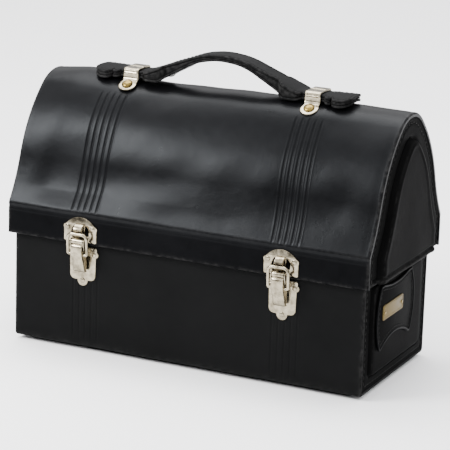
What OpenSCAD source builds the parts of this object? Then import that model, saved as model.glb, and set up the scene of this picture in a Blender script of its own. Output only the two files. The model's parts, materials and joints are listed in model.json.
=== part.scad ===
// Dome-top carrying box in black leather: a rectangular box, a hinged bow-top lid whose skirt
// slips over the box, two draw latches with a lever and a wire bail, and a strap handle that
// runs through two metal loops. Millimetres, +Z up, front towards -Y, and the origin is the
// middle of the face that the box stands on.

/* [Box] */
// Width of the box over its end panels
base_w = 253; // [240:1:266]
// Depth of the box from front to back
base_d = 110; // [106:0.5:110]
// Height of the top edge of the box's walls
base_h = 87; // [86:0.5:88]
// Thickness of the sole under the box
sole_t = 2.5; // [2:0.1:3]
// How far the raised panel stands proud of each end of the box
base_raise = 2; // [1:0.1:2.4]

/* [Lid] */
// Width of the lid over its flat end flanges
lid_w = 260; // [259.5:0.5:280]
// Height of the crown of the lid
lid_h = 177; // [176:0.5:180]
// Height of the lower edge of the lid's skirt
skirt_z = 75; // [74.8:0.1:75.4]
// How far the lid sits back from the middle of the box
lid_y = 4; // [3.8:0.1:4.2]
// How far the raised panel stands proud of each end of the lid
lid_raise = 4; // [3.2:0.1:5]
// Width of the flat stitched border round that panel
lid_border = 18; // [16:0.5:20]

/* [Dome outline] */
// Radius of the crown
crown_r = 30; // [29:0.5:31]
// Radius of the shoulders below the crown
shoulder_r = 96; // [94:1:98]
// Radius of the hollow flare above the skirt
flare_r = 120; // [118:1:122]
// Radius of the nose where the flare meets the skirt
nose_r = 6; // [5.8:0.1:6.5]

/* [Leather and board] */
// Thickness of the lid's leather
lid_hide = 2.8; // [2.6:0.1:2.8]
// Thickness of the box's leather
base_hide = 2.4; // [2:0.1:2.6]
// Thickness of the stiff board inside the leather
board_t = 1.6; // [1.2:0.1:1.6]
// Thickness of the cloth lining
lining_t = 0.8; // [0.5:0.1:0.8]

/* [Handle] */
// Distance between the two handle loops
loop_span = 132; // [128:1:136]
// Length of the strap over its two paddle ends
strap_len = 186; // [186:1:192]
// Width of the strap between the loops
strap_w = 16; // [14:0.5:16]
// Width of the paddle ends
paddle_w = 27; // [24:0.5:30]
// Height of the top of the strap at the middle of its arch
strap_top = 200.5; // [198:0.5:203]

/* [Fittings] */
// Distance between the two latches
latch_span = 145; // [140:1:150]
// How far the latches and handle sit left of the middle
shift = 2; // [0:0.5:3]
// Distance between the two hinges
hinge_span = 145; // [130:1:160]
// Thickness of the plated sheet metal
plate_t = 0.8; // [0.7:0.1:0.8]

/* [Hidden] */
$fn = 48;

black_hide = [0.10, 0.10, 0.11];
board_tan = [0.55, 0.42, 0.28];
lining_tan = [0.66, 0.56, 0.42];
nickel = [0.80, 0.78, 0.72];
brass = [0.72, 0.62, 0.38];

eps = 0.05;      // gap between pieces of one body that lie face to face
cut = 1;         // how far a cutting shape runs past the face it cuts
lift = 0.4;      // gap between the lid's board and the top of the box
across = 20;     // half length of a cutting shape that runs right through a fitting
hole_deep = 8;   // how far a rivet's hole runs through hide and board

// Angles of the dome's arcs, in degrees from straight up
crown_a = 40;
shoulder_a = 72;
flare_a = 57;
arc_steps = 8;

// Places of the fittings
base_front = -base_d / 2;
base_back = base_d / 2;
hinge_y = base_back + 5.4;
hinge_z = skirt_z + 3;
lever_y = base_front - 8;
lever_z = skirt_z + 2.7;
pin_r = 0.9;
pin_fit = 0.05;

// ---------- outlines ----------

function dir(a) = [sin(a), cos(a)];
// Points along an arc, without its first one
function arc(c, r, a0, a1) = [for (i = [1 : arc_steps]) c + r * dir(a0 + (a1 - a0) * i / arc_steps)];
function mirrored(p) = [for (i = [len(p) - 1 : -1 : 0]) [-p[i].x, p[i].y]];

// Centres of the dome's arcs, each tangent to the one before
crown_c = [0, lid_h - crown_r];
shoulder_c = crown_c + (crown_r - shoulder_r) * dir(crown_a);
flare_c = shoulder_c + (shoulder_r + flare_r) * dir(shoulder_a);
nose_c = flare_c - (flare_r + nose_r) * dir(flare_a);
lid_half = nose_c.x + nose_r;
lid_front = lid_y - lid_half;
lid_back = lid_y + lid_half;

// The right half of the dome, inset t from the outer face, down to the height z0
function dome_side(t, z0) = concat(
    arc(crown_c, crown_r - t, 0, crown_a),
    arc(shoulder_c, shoulder_r - t, crown_a, shoulder_a),
    arc(flare_c, -(flare_r + t), shoulder_a, flare_a),
    arc(nose_c, nose_r - t, flare_a, 90),
    [[lid_half - t, z0]]);

// The same half inset so far that the nose is gone and the flare runs into the straight side
function panel_side(t, z0) = let (end_a = asin((flare_c.x - lid_half + t) / (flare_r + t))) concat(
    arc(crown_c, crown_r - t, 0, crown_a),
    arc(shoulder_c, shoulder_r - t, crown_a, shoulder_a),
    arc(flare_c, -(flare_r + t), shoulder_a, end_a),
    [[lid_half - t, z0]]);

// A closed outline from its top point and its right half
module symmetric_outline(top, side) {
    translate([lid_y, 0]) polygon(concat([top], side, mirrored(side)));
}

module dome(t, z0) {
    symmetric_outline([0, lid_h - t], dome_side(t, z0));
}

module panel(t, z0) {
    symmetric_outline([0, lid_h - t], panel_side(t, z0));
}

// The box's outline from the end, inset t, with rounded lower edges, up to the height z1
bottom_r = 3;
inner_r = 0.8;   // least radius of those edges inside the leather
module trough(t, z1) {
    half = base_d / 2 - t;
    low = sole_t + t;
    r = max(bottom_r - t, inner_r);
    corner = arc([half - r, low + r], r, 90, 180);
    side = concat([[half, z1], [half, low + r]], corner);
    polygon(concat(side, mirrored(side)));
}

// Extrudes a Y-Z outline along X, from x0 to x1
module along_x(x0, x1) {
    translate([x0, 0, 0]) rotate([90, 0, 90]) linear_extrude(x1 - x0) children();
}

// Extrudes an X-Z outline from the face at y, forwards by t
module forward(y, t) {
    translate([0, y, 0]) rotate([90, 0, 0]) linear_extrude(t) children();
}

module rounded_square(w, h, r) {
    for (sx = [-1, 1], sy = [-1, 1])
        translate([sx * (w / 2 - r), sy * (h / 2 - r)]) circle(r);
    square([w - 2 * r, h], center = true);
    square([w, h - 2 * r], center = true);
}

// ---------- rivets and their holes ----------

rivet_r = 1.0;       // shank of the small rivets
loop_rivet_r = 1.5;  // shank of the handle loop rivets
head_r = 1.6;        // domed heads of the latch and catch rivets
head_h = 0.7;
loop_head_r = 3.7;   // domed heads of the handle loop rivets
loop_head_h = 1.9;
hinge_head_r = 2;    // domed heads of the hinge rivets
hinge_head_h = 0.8;
loop_tab_r = 6;      // round tab of a handle loop
loop_a = asin(13.5 / crown_r);   // where the tab sits on the crown, from straight up

catch_ear_z = skirt_z + 11.3;
latch_ear_z = skirt_z - 7.2;
latch_tab_z = skirt_z - 25.7;
catch_spots = [[-9.2, catch_ear_z], [9.2, catch_ear_z]];
latch_spots = [[-8.2, latch_ear_z], [8.2, latch_ear_z], [0, latch_tab_z]];
hinge_lid_spots = [[-10, skirt_z + 9.5], [10, skirt_z + 9.5]];
hinge_base_spots = [[-10, skirt_z - 11], [10, skirt_z - 11]];

// Places its children at each spot of the left and right fitting, on the plane y
module at_spots(spots, span, dx, y) {
    for (s = [-1, 1], p = spots)
        translate([s * span / 2 + dx + p.x, y, p.y]) children();
}

// A shank or hole along Y, from the plane where it is placed, backwards by d
module shank(r, d) {
    rotate([-90, 0, 0]) cylinder(r = r, h = d);
}

// A rivet whose low domed head, hr in radius and hh high, points forwards, with a shank of length d
module rivet(r, hr, hh, d) {
    shank(r, d);
    sphere_r = (hr * hr + hh * hh) / (2 * hh);
    rotate([90, 0, 0]) intersection() {
        translate([0, 0, hh - sphere_r]) sphere(sphere_r);
        cylinder(r = hr, h = hh + cut);
    }
}

// A rivet's hole through the sheet metal near the plane y
module plate_holes(spots, y) {
    for (p = spots) translate([p.x, y - 3, p.y]) shank(rivet_r + pin_fit, 6);
}

module rivet_holes(spots, span, dx, y0, y1, r = rivet_r) {
    at_spots(spots, span, dx, y0) shank(r + pin_fit, y1 - y0);
}

// The four places on the crown where the handle loops are riveted; the local +Y points inwards
module at_loop_rivets() {
    for (s = [-1, 1], side = [-1, 1])
        translate([s * loop_span / 2 - shift, lid_y, crown_c.y])
            rotate([side * loop_a, 0, 0]) translate([0, 0, crown_r]) rotate([-90, 0, 0]) children();
}

module loop_rivet_holes() {
    at_loop_rivets() translate([0, -cut, 0]) shank(loop_rivet_r + pin_fit, hole_deep);
}

module front_holes_lid() {
    rivet_holes(catch_spots, latch_span, -shift, lid_front - cut, lid_front + hole_deep);
}

module back_holes_lid() {
    rivet_holes(hinge_lid_spots, hinge_span, 0, lid_back - lid_hide - cut, lid_back + cut);
}

module front_holes_base() {
    rivet_holes(latch_spots, latch_span, -shift, base_front - cut, base_front + hole_deep);
}

module back_holes_base() {
    rivet_holes(hinge_base_spots, hinge_span, 0, base_back - hole_deep, base_back + cut);
}

// ---------- the box ----------

shell_t = base_hide + eps;
lining_in = shell_t + board_t + eps;

module base_wrap() {
    color(black_hide) difference() {
        along_x(-base_w / 2, base_w / 2) difference() {
            trough(0, base_h);
            trough(base_hide, base_h + cut);
        }
        front_holes_base();
        back_holes_base();
    }
}

// The raised panel on each end of the box
panel_low = 10.5;    // its lower edge, from the sole
panel_side_in = 13;  // its sides, from the front and back
panel_z0 = sole_t + panel_low;
panel_z1 = skirt_z - 2;
panel_w = base_d - 2 * panel_side_in;
panel_corner = 4;

module base_end() {
    color(black_hide) {
        along_x(base_w / 2 - base_hide, base_w / 2) trough(base_hide + eps, base_h);
        along_x(base_w / 2, base_w / 2 + base_raise)
            translate([0, (panel_z0 + panel_z1) / 2]) rounded_square(panel_w, panel_z1 - panel_z0, panel_corner);
    }
}

module base_end_right() {
    difference() {
        base_end();
        label_pin_holes();
    }
}

module base_end_left() {
    mirror([1, 0, 0]) base_end();
}

// An open tray inside the trough: outer inset t, wall w
module tray(t, w) {
    difference() {
        along_x(-base_w / 2 + t, base_w / 2 - t) trough(t, base_h);
        along_x(-base_w / 2 + t + w, base_w / 2 - t - w) trough(t + w, base_h + cut);
    }
}

module base_shell() {
    color(board_tan) difference() {
        tray(shell_t, board_t);
        front_holes_base();
        back_holes_base();
    }
}

module base_lining() {
    color(lining_tan) tray(lining_in, lining_t);
}

sole_in = [8, 6];    // how far the sole's edges sit in from the ends, and from the front and back
sole_corner = 4;

module base_sole() {
    color(black_hide) linear_extrude(sole_t - eps)
        rounded_square(base_w - 2 * sole_in.x, base_d - 2 * sole_in.y, sole_corner);
}

// ---------- the name patch on the right end ----------

patch_y = -8.5;
patch_z = skirt_z - 25;
patch_w = 63;
patch_h = 42;
patch_t = 1.4;
plaque_y = -14.5;
plaque_z = patch_z + 3;
plaque_w = 34;
plaque_h = 10;
plaque_t = 0.7;
patch_x = base_w / 2 + base_raise;
label_x = patch_x + patch_t;
pin_gap = 29;
label_pin_r = 0.6;
label_pin_len = 3.6;
pin_head_h = 0.4;

module patch_outline() {
    bulge_r = 42;    // round sides
    foot_r = 48;     // hollow lower edge
    foot_in = 6.5;
    head_r = 90;     // hollow upper edge
    head_in = 2.5;
    difference() {
        intersection() {
            square([patch_w, patch_h], center = true);
            translate([patch_w / 2 - bulge_r, 0]) circle(bulge_r);
            translate([bulge_r - patch_w / 2, 0]) circle(bulge_r);
        }
        translate([0, foot_in - patch_h / 2 - foot_r]) circle(foot_r);
        translate([0, patch_h / 2 + head_r - head_in]) circle(head_r);
    }
}

module label_pin_spots(x) {
    for (s = [-1, 1]) translate([x, plaque_y + s * pin_gap / 2, plaque_z]) rotate([0, -90, 0]) children();
}

module label_pin_holes() {
    label_pin_spots(label_x + cut + plaque_t) cylinder(r = label_pin_r + pin_fit, h = 5.5);
}

module label_patch() {
    color(black_hide) difference() {
        along_x(patch_x, patch_x + patch_t - eps) translate([patch_y, patch_z]) patch_outline();
        label_pin_holes();
    }
}

module label_plate() {
    color(brass) difference() {
        along_x(label_x, label_x + plaque_t)
            translate([plaque_y, plaque_z]) rounded_square(plaque_w, plaque_h, 1.2);
        label_pin_holes();
    }
}

module label_pins() {
    color(brass) label_pin_spots(label_x + plaque_t) {
        cylinder(r = label_pin_r, h = label_pin_len);
        translate([0, 0, -pin_head_h]) cylinder(r1 = 0.7, r2 = 1, h = pin_head_h);
    }
}

// ---------- latches ----------

latch_w = 20.6;      // width of the lower plate where the lever turns
latch_body_w = 18.8; // width of the lower plate below its ears
catch_w = 24;
ear_r = 2.2;
lug_x0 = 4.5;
lug_x1 = 5.2;
cheek_x0 = 3.4;
cheek_x1 = 4.2;
lug_r = 2;

module latch_outline() {
    top = skirt_z - 2.4;
    low = latch_tab_z + 0.3;
    translate([-latch_w / 2, latch_ear_z - 2]) square([latch_w, top - latch_ear_z + 2]);
    for (s = [-1, 1]) translate([s * (latch_w / 2 - ear_r + 1.2), latch_ear_z]) circle(ear_r);
    translate([0, (latch_ear_z + low) / 2]) rounded_square(latch_body_w, latch_ear_z - low, 3.5);
    translate([0, latch_tab_z]) circle(3.8);
}

module latch_plate() {
    plate_y = base_front - eps;
    color(nickel) {
        difference() {
            union() {
                forward(plate_y, plate_t) latch_outline();
                for (s = [-1, 1])
                    along_x(s > 0 ? lug_x0 : -lug_x1, s > 0 ? lug_x1 : -lug_x0) lug_outline(plate_y);
            }
            translate([-across, lever_y, lever_z]) rotate([0, 90, 0])
                cylinder(r = pin_r + pin_fit, h = 2 * across);
            plate_holes(latch_spots, base_front);
        }
    }
}

module lug_outline(plate_y) {
    translate([lever_y, lever_z]) circle(lug_r);
    polygon([[plate_y + eps, lever_z - 12], [lever_y - 1, lever_z - 5], [lever_y - lug_r, lever_z],
        [lever_y + lug_r, lever_z], [lever_y + lug_r, lever_z - 4.5], [plate_y + eps, lever_z - 5.6]]);
}

module latch_plate_left() {
    translate([-latch_span / 2 - shift, 0, 0]) latch_plate();
}

module latch_plate_right() {
    translate([latch_span / 2 - shift, 0, 0]) latch_plate();
}

module latch_plate_rivets() {
    color(nickel) at_spots(latch_spots, latch_span, -shift, base_front - eps - plate_t)
        rivet(rivet_r, head_r, head_h, plate_t + base_hide + board_t);
}

module lever_pin() {
    color(nickel) translate([-lug_x1, lever_y, lever_z]) rotate([0, 90, 0]) cylinder(r = pin_r, h = 2 * lug_x1);
}

module lever_pin_left() {
    translate([-latch_span / 2 - shift, 0, 0]) lever_pin();
}

module lever_pin_right() {
    translate([latch_span / 2 - shift, 0, 0]) lever_pin();
}

// Where the bail turns in the lever, from the lever's own pin
bail_y = lever_y - 0.3;
bail_z = lever_z - 8.7;
wire_r = 1.1;
barrel_r = 2.1;

module lever() {
    color(nickel) translate([0, lever_y, lever_z]) difference() {
        along_x(-cheek_x1, cheek_x1) {
            circle(barrel_r);
            polygon([[-barrel_r, 0], [-2.7, -3.5], [-2.7, -8], [1.9, -20.6], [2.9, -21.5], [4.8, -21.5],
                [5.2, -20.3], [5.4, -6], [4.9, -5], [barrel_r, -2.6], [barrel_r, 0]]);
        }
        along_x(-cheek_x0, cheek_x0)
            polygon([[-1.6, -3], [-1.7, -8.2], [2.8, -20.5], [7, -20.5], [7, -3]]);
        translate([-across, 0, 0]) rotate([0, 90, 0]) cylinder(r = pin_r + pin_fit, h = 2 * across);
        translate([-across, bail_y - lever_y, bail_z - lever_z]) rotate([0, 90, 0])
            cylinder(r = stub_r + pin_fit, h = 2 * across);
    }
}

module lever_left() {
    translate([-latch_span / 2 - shift, 0, 0]) lever();
}

module lever_right() {
    translate([latch_span / 2 - shift, 0, 0]) lever();
}

bail_half = 7;       // from the middle to the centre of a leg
bail_len = 14;       // from the pivot to the centre of the crossbar
bail_bend = 4;       // bend radius at the crossbar's ends
bail_lean = 5;       // forward lean of the bail when it is closed, in degrees
stub_r = 0.9;        // stubs that turn in the lever's cheeks

module bail() {
    color(nickel) translate([0, bail_y, bail_z]) rotate([bail_lean, 0, 0]) {
        translate([-(bail_half - bail_bend), 0, bail_len]) rotate([0, 90, 0])
            cylinder(r = wire_r, h = 2 * (bail_half - bail_bend));
        for (s = [-1, 1]) {
            translate([s * bail_half, 0, 0]) cylinder(r = wire_r, h = bail_len - bail_bend);
            translate([s * bail_half, 0, 0]) sphere(wire_r);
            translate([s > 0 ? cheek_x0 : -bail_half, 0, 0]) rotate([0, 90, 0])
                cylinder(r = stub_r, h = bail_half - cheek_x0);
            translate([s * (bail_half - bail_bend), 0, bail_len - bail_bend]) rotate([90, 0, 0])
                rotate([0, 0, s > 0 ? 0 : 90]) rotate_extrude(angle = 90)
                    translate([bail_bend, 0]) circle(wire_r);
        }
    }
}

module bail_left() {
    translate([-latch_span / 2 - shift, 0, 0]) bail();
}

module bail_right() {
    translate([latch_span / 2 - shift, 0, 0]) bail();
}

// ---------- catches on the lid ----------

catch_y = lid_front - eps;
nose_half = 3.2;

module catch_outline() {
    translate([-catch_w / 2, skirt_z + 1.8]) square([catch_w, 9.2]);
    intersection() {
        translate([0, skirt_z + 5.2]) circle(13.3);
        translate([-catch_w / 2, skirt_z + 9]) square([catch_w, 20]);
    }
    for (s = [-1, 1]) translate([s * (catch_w / 2 - 1.8), catch_ear_z]) circle(ear_r);
}

module catch_nose_outline() {
    // From the lower edge of the seat that holds the bail's crossbar, round the nose, to the top
    translate([catch_y - plate_t, skirt_z]) polygon([[0.2, 5.2], [-2, 5.6], [-2.9, 6.4], [-2.9, 8.8],
        [-4.4, 9.45], [-5.1, 10.3], [-4.9, 11.5], [-3.6, 13], [-1.6, 14], [0.2, 14.2]]);
}

module catch_plate() {
    color(nickel) difference() {
        union() {
            forward(catch_y, plate_t) catch_outline();
            along_x(-nose_half, nose_half) catch_nose_outline();
        }
        plate_holes(catch_spots, catch_y);
    }
}

module catch_plate_left() {
    translate([-latch_span / 2 - shift, 0, 0]) catch_plate();
}

module catch_plate_right() {
    translate([latch_span / 2 - shift, 0, 0]) catch_plate();
}

module catch_rivets() {
    color(nickel) at_spots(catch_spots, latch_span, -shift, catch_y - plate_t)
        rivet(rivet_r, head_r, head_h, plate_t + lid_hide);
}

// ---------- the lid ----------

module lid_wrap() {
    color(black_hide) difference() {
        along_x(-lid_w / 2, lid_w / 2) difference() {
            dome(0, skirt_z);
            dome(lid_hide, skirt_z - cut);
        }
        front_holes_lid();
        back_holes_lid();
        loop_rivet_holes();
    }
}

module lid_end_right() {
    flange_x = lid_w / 2;
    color(black_hide) difference() {
        union() {
            along_x(flange_x - lid_hide, flange_x) dome(lid_hide + eps, skirt_z);
            along_x(flange_x, flange_x + lid_raise) panel(lid_border, skirt_z);
        }
        along_x(flange_x - lid_hide - cut, flange_x + lid_raise - lid_hide)
            panel(lid_border + lid_hide, skirt_z + lid_hide);
    }
}

module lid_end_left() {
    mirror([1, 0, 0]) lid_end_right();
}

// A shell inside the dome: outer inset t, wall w
module dome_shell(t, w) {
    difference() {
        along_x(-lid_w / 2 + t, lid_w / 2 - t) dome(t, base_h + lift);
        along_x(-lid_w / 2 + t + w, lid_w / 2 - t - w) dome(t + w, base_h + lift - cut);
    }
}

module lid_shell() {
    color(board_tan) difference() {
        dome_shell(lid_hide + eps, board_t);
        loop_rivet_holes();
    }
}

module lid_lining() {
    color(lining_tan) dome_shell(lid_hide + board_t + 2 * eps, lining_t);
}

// ---------- handle ----------

loop_w = 11;
loop_t = 1;
loop_half = 8.2;      // inner half width of a loop, front to back
loop_top = 184.6;     // top of a loop
loop_x = loop_span / 2;

module handle_loop() {
    color(nickel) translate([0, lid_y, 0]) difference() {
        union() {
            along_x(-loop_w / 2, loop_w / 2) difference() {
                translate([-loop_half - loop_t, lid_h - 2.2])
                    square([2 * (loop_half + loop_t), loop_top - lid_h + 2.2]);
                translate([-loop_half, lid_h - 4]) square([2 * loop_half, loop_top - loop_t - lid_h + 4]);
            }
            for (s = [-1, 1]) translate([0, 0, crown_c.y]) rotate([s * loop_a, 0, 0]) {
                translate([0, 0, crown_r + eps]) cylinder(r = loop_tab_r, h = loop_t);
                translate([-loop_w / 2, s > 0 ? -5.6 : 0, crown_r + eps]) cube([loop_w, 5.6, loop_t]);
            }
        }
        for (s = [-1, 1]) translate([0, 0, crown_c.y]) rotate([s * loop_a, 0, 0])
            cylinder(r = loop_rivet_r + pin_fit, h = crown_r + 6);
        translate([-loop_w, 0, crown_c.y]) rotate([0, 90, 0])
            cylinder(r = crown_r + eps / 2, h = 2 * loop_w, $fn = 180);
    }
}

module handle_loop_left() {
    translate([-loop_x - shift, 0, 0]) handle_loop();
}

module handle_loop_right() {
    translate([loop_x - shift, 0, 0]) handle_loop();
}

module handle_loop_rivets() {
    color(brass) at_loop_rivets() translate([0, -loop_t - eps, 0])
        rivet(loop_rivet_r, loop_head_r, loop_head_h, loop_t + lid_hide + board_t);
}

// The strap is flat through the loops and arches between them. Its upper and lower leather
// follow their own arches: a crown arc, a straight flank and a foot arc.
strap_t = 4.4;            // thickness of the whole strap where it is flat, and at its crown
layer_t = 1.6;            // thickness of its upper and lower leather
flat_top = loop_top - loop_t - 0.2;
flat_low = flat_top - strap_t;

// Half length of an arch that rises by h
function arch_half(h, r1, r2, a) = (r1 + r2) * sin(a) + (h - (r1 + r2) * (1 - cos(a))) / tan(a);

// One side of a face's path, from the crown of its arch to the end x1: its height z on the flat,
// rise h, radii r1 of the crown arc and r2 of the foot arc, angle a of the flank, and inset d
function path_side(z, h, r1, r2, a, d, x1) = concat(
    arc([0, z + h - r1], r1 - d, 0, a),
    [[arch_half(h, r1, r2, a), z + r2] - (r2 + d) * dir(a)],
    arc([arch_half(h, r1, r2, a), z + r2], -(r2 + d), a, 0),
    [[x1, z - d]]);

function path(z, h, r1, r2, a, d, x1) = let (side = path_side(z, h, r1, r2, a, d, x1))
    concat(mirrored(side), [[0, z + h - d]], side);

function upper(d, x1) = path(flat_top, strap_top - flat_top, 62, 20, 20.5, d, x1);
function lower(d, x1) = path(flat_low, strap_top - strap_t - flat_low, 52, 10, 29.5, -d, x1);

module strap_section(over, under) {
    polygon(concat(over, [for (i = [len(under) - 1 : -1 : 0]) under[i]]));
}

// The strap's plan: a narrow grip, then at each end a leaf before the loop, a neck through the
// loop, a small shoulder behind it, a notch and a broad paddle
leaf_x = 41;       // where the leaf starts, from the middle
leaf_in_w = 23;    // width of the leaf
leaf_r = 5;
leaf_a = 72;       // its corners start and end at this angle, where they meet grip and neck
neck = 15.6;       // width through the loops
slide_gap = 2.5;   // how far the strap can slide each way before its wider parts meet a loop
shoulder_w = 22;
shoulder_corner = 3.4;
notch_in = 5.3;    // from the end of the neck to the notch
notch_w = 18.4;
paddle_in = 3.5;   // from the end of the neck to the paddle's edge, were it not rounded
paddle_r = 5.5;
core_in = 2.5;      // how far the core's edge sits inside the hides' edges

module strap_plan(less) {
    neck_x0 = loop_x - loop_w / 2 - slide_gap;
    neck_x1 = loop_x + loop_w / 2 + slide_gap;
    start = [[0, strap_w / 2 - less], [leaf_x + less + 0.3, strap_w / 2 - less]];
    leaf = concat(
        arc([leaf_x + leaf_r, leaf_in_w / 2 - leaf_r], leaf_r - less, -leaf_a, 0),
        arc([neck_x0 - leaf_r, leaf_in_w / 2 - leaf_r], leaf_r - less, 0, leaf_a),
        [[neck_x0 - less, neck / 2 - less], [neck_x1 + less, neck / 2 - less]]);
    tip = concat(
        arc([neck_x1 + shoulder_corner, shoulder_w / 2 - shoulder_corner], shoulder_corner - less, -90, 25),
        [[neck_x1 + notch_in, notch_w / 2 - 1.2 * less]],
        arc([neck_x1 + paddle_in + paddle_r, paddle_w / 2 - paddle_r], paddle_r - less, -44, 0),
        arc([strap_len / 2 - paddle_r, paddle_w / 2 - paddle_r], paddle_r - less, 0, 90));
    quarter = concat(start, leaf, tip);
    side = concat(quarter, [for (i = [len(quarter) - 1 : -1 : 1]) [quarter[i].x, -quarter[i].y]]);
    polygon(concat(side, [for (i = [len(side) - 1 : -1 : 1]) [-side[i].x, side[i].y]]));
}

module strap_layer(less) {
    translate([-shift, lid_y, 0]) intersection() {
        rotate([90, 0, 0]) translate([0, 0, -paddle_w]) linear_extrude(2 * paddle_w) children();
        translate([0, 0, flat_low - 10]) linear_extrude(60) strap_plan(less);
    }
}

strap_end = strap_len / 2 + cut;

module handle_top() {
    color(black_hide) strap_layer(0) strap_section(upper(0, strap_end), upper(layer_t, strap_end));
}

module handle_core() {
    color(board_tan) strap_layer(core_in)
        strap_section(upper(layer_t + eps, strap_end), lower(layer_t + eps, strap_end));
}

module handle_bottom() {
    color(black_hide) strap_layer(0) strap_section(lower(layer_t, strap_end), lower(0, strap_end));
}

// ---------- hinges ----------

leaf_w = 30;
leaf_t = 1;
knuckle_r = 2.4;
hinge_pin_r = 1.1;
third = leaf_w / 3;
knuckle_gap = 0.15;
base_leaf_down = 20; // how far the leaf on the box reaches below the pin
lid_leaf_low = 4;    // lower edge of the leaf on the lid, above the pin
lid_leaf_h = 5;

module hinge_pin() {
    color(nickel) translate([-leaf_w / 2, hinge_y, hinge_z]) rotate([0, 90, 0])
        cylinder(r = hinge_pin_r, h = leaf_w);
}

module hinge_bore() {
    translate([-leaf_w, hinge_y, hinge_z]) rotate([0, 90, 0])
        cylinder(r = hinge_pin_r + pin_fit, h = 2 * leaf_w);
}

module knuckle(x0, x1) {
    translate([x0, hinge_y, hinge_z]) rotate([0, 90, 0]) cylinder(r = knuckle_r, h = x1 - x0);
}

// A web from the knuckle's top to the leaf, between x0 and x1
module web(x0, x1, y0, y1) {
    translate([x0, y0, hinge_z + knuckle_r - leaf_t]) cube([x1 - x0, y1 - y0, leaf_t]);
}

module hinge_base_leaf() {
    face = base_back + eps;
    color(nickel) difference() {
        union() {
            translate([-leaf_w / 2, face, hinge_z - base_leaf_down])
                cube([leaf_w, leaf_t, base_leaf_down + knuckle_r]);
            for (s = [-1, 1]) {
                x0 = s > 0 ? third / 2 : -leaf_w / 2;
                knuckle(x0, x0 + third);
                web(x0, x0 + third, face, hinge_y);
            }
        }
        hinge_bore();
        plate_holes(hinge_base_spots, base_back);
    }
}

module hinge_lid_leaf() {
    face = lid_back - lid_hide - eps;
    x0 = -third / 2 + knuckle_gap;
    x1 = third / 2 - knuckle_gap;
    color(nickel) difference() {
        union() {
            knuckle(x0, x1);
            web(x0, x1, hinge_y, face);
            translate([x0, face - leaf_t, hinge_z + knuckle_r - leaf_t]) cube([x1 - x0, leaf_t, lid_leaf_low]);
            translate([-leaf_w / 2, face - leaf_t, hinge_z + lid_leaf_low]) cube([leaf_w, leaf_t, lid_leaf_h]);
        }
        hinge_bore();
        plate_holes(hinge_lid_spots, face);
    }
}

module hinge_base_leaf_left() {
    translate([-hinge_span / 2, 0, 0]) hinge_base_leaf();
}

module hinge_base_leaf_right() {
    translate([hinge_span / 2, 0, 0]) hinge_base_leaf();
}

module hinge_pin_left() {
    translate([-hinge_span / 2, 0, 0]) hinge_pin();
}

module hinge_pin_right() {
    translate([hinge_span / 2, 0, 0]) hinge_pin();
}

module hinge_lid_leaf_left() {
    translate([-hinge_span / 2, 0, 0]) hinge_lid_leaf();
}

module hinge_lid_leaf_right() {
    translate([hinge_span / 2, 0, 0]) hinge_lid_leaf();
}

module hinge_base_rivets() {
    color(nickel) at_spots(hinge_base_spots, hinge_span, 0, base_back + eps + leaf_t)
        rotate([0, 0, 180]) rivet(rivet_r, hinge_head_r, hinge_head_h, leaf_t + base_hide + board_t);
}

module hinge_lid_rivets() {
    color(nickel) at_spots(hinge_lid_spots, hinge_span, 0, lid_back)
        rotate([0, 0, 180]) rivet(rivet_r, hinge_head_r, hinge_head_h, lid_hide + eps + leaf_t);
}

base_wrap();
base_end_left();
base_end_right();
base_shell();
base_lining();
base_sole();
label_patch();
label_plate();
label_pins();
latch_plate_left();
latch_plate_right();
latch_plate_rivets();
lever_pin_left();
lever_pin_right();
hinge_base_leaf_left();
hinge_base_leaf_right();
hinge_pin_left();
hinge_pin_right();
hinge_base_rivets();
lid_wrap();
lid_end_left();
lid_end_right();
lid_shell();
lid_lining();
catch_plate_left();
catch_plate_right();
catch_rivets();
handle_loop_left();
handle_loop_right();
handle_loop_rivets();
hinge_lid_leaf_left();
hinge_lid_leaf_right();
hinge_lid_rivets();
lever_left();
lever_right();
bail_left();
bail_right();
handle_top();
handle_core();
handle_bottom();
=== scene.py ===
"""Looks for the dome-top carrying box: black leather, nickel latches and loops, brass rivets."""

import json
import math

import bmesh
import bpy
import numpy as np
from mathutils import Matrix, Vector
from mathutils.geometry import tessellate_polygon


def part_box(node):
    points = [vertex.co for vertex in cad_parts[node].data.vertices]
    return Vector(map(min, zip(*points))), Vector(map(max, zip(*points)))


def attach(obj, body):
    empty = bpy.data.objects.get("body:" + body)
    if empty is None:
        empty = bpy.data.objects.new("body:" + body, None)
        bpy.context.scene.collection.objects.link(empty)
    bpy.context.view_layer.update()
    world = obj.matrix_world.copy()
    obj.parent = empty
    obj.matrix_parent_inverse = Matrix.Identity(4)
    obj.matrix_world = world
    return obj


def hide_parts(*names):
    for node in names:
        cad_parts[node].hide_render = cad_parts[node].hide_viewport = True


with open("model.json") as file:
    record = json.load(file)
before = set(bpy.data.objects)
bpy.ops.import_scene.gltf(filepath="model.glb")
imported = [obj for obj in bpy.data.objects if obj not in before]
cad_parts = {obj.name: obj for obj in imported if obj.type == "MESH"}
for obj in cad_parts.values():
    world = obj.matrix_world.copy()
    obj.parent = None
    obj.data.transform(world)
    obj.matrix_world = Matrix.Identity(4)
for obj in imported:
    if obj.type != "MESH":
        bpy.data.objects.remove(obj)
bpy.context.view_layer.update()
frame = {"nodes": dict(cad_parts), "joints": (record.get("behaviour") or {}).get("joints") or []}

MM = 0.001
RECORD_JOINTS = {j["name"]: j for j in frame["joints"]}


def node_box(node):
    """A CAD node's lowest and highest corners, in millimetres."""
    lo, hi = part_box(node)
    return np.array(lo) / MM, np.array(hi) / MM


# ---------- sizes from the frame, in millimetres ----------

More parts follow.
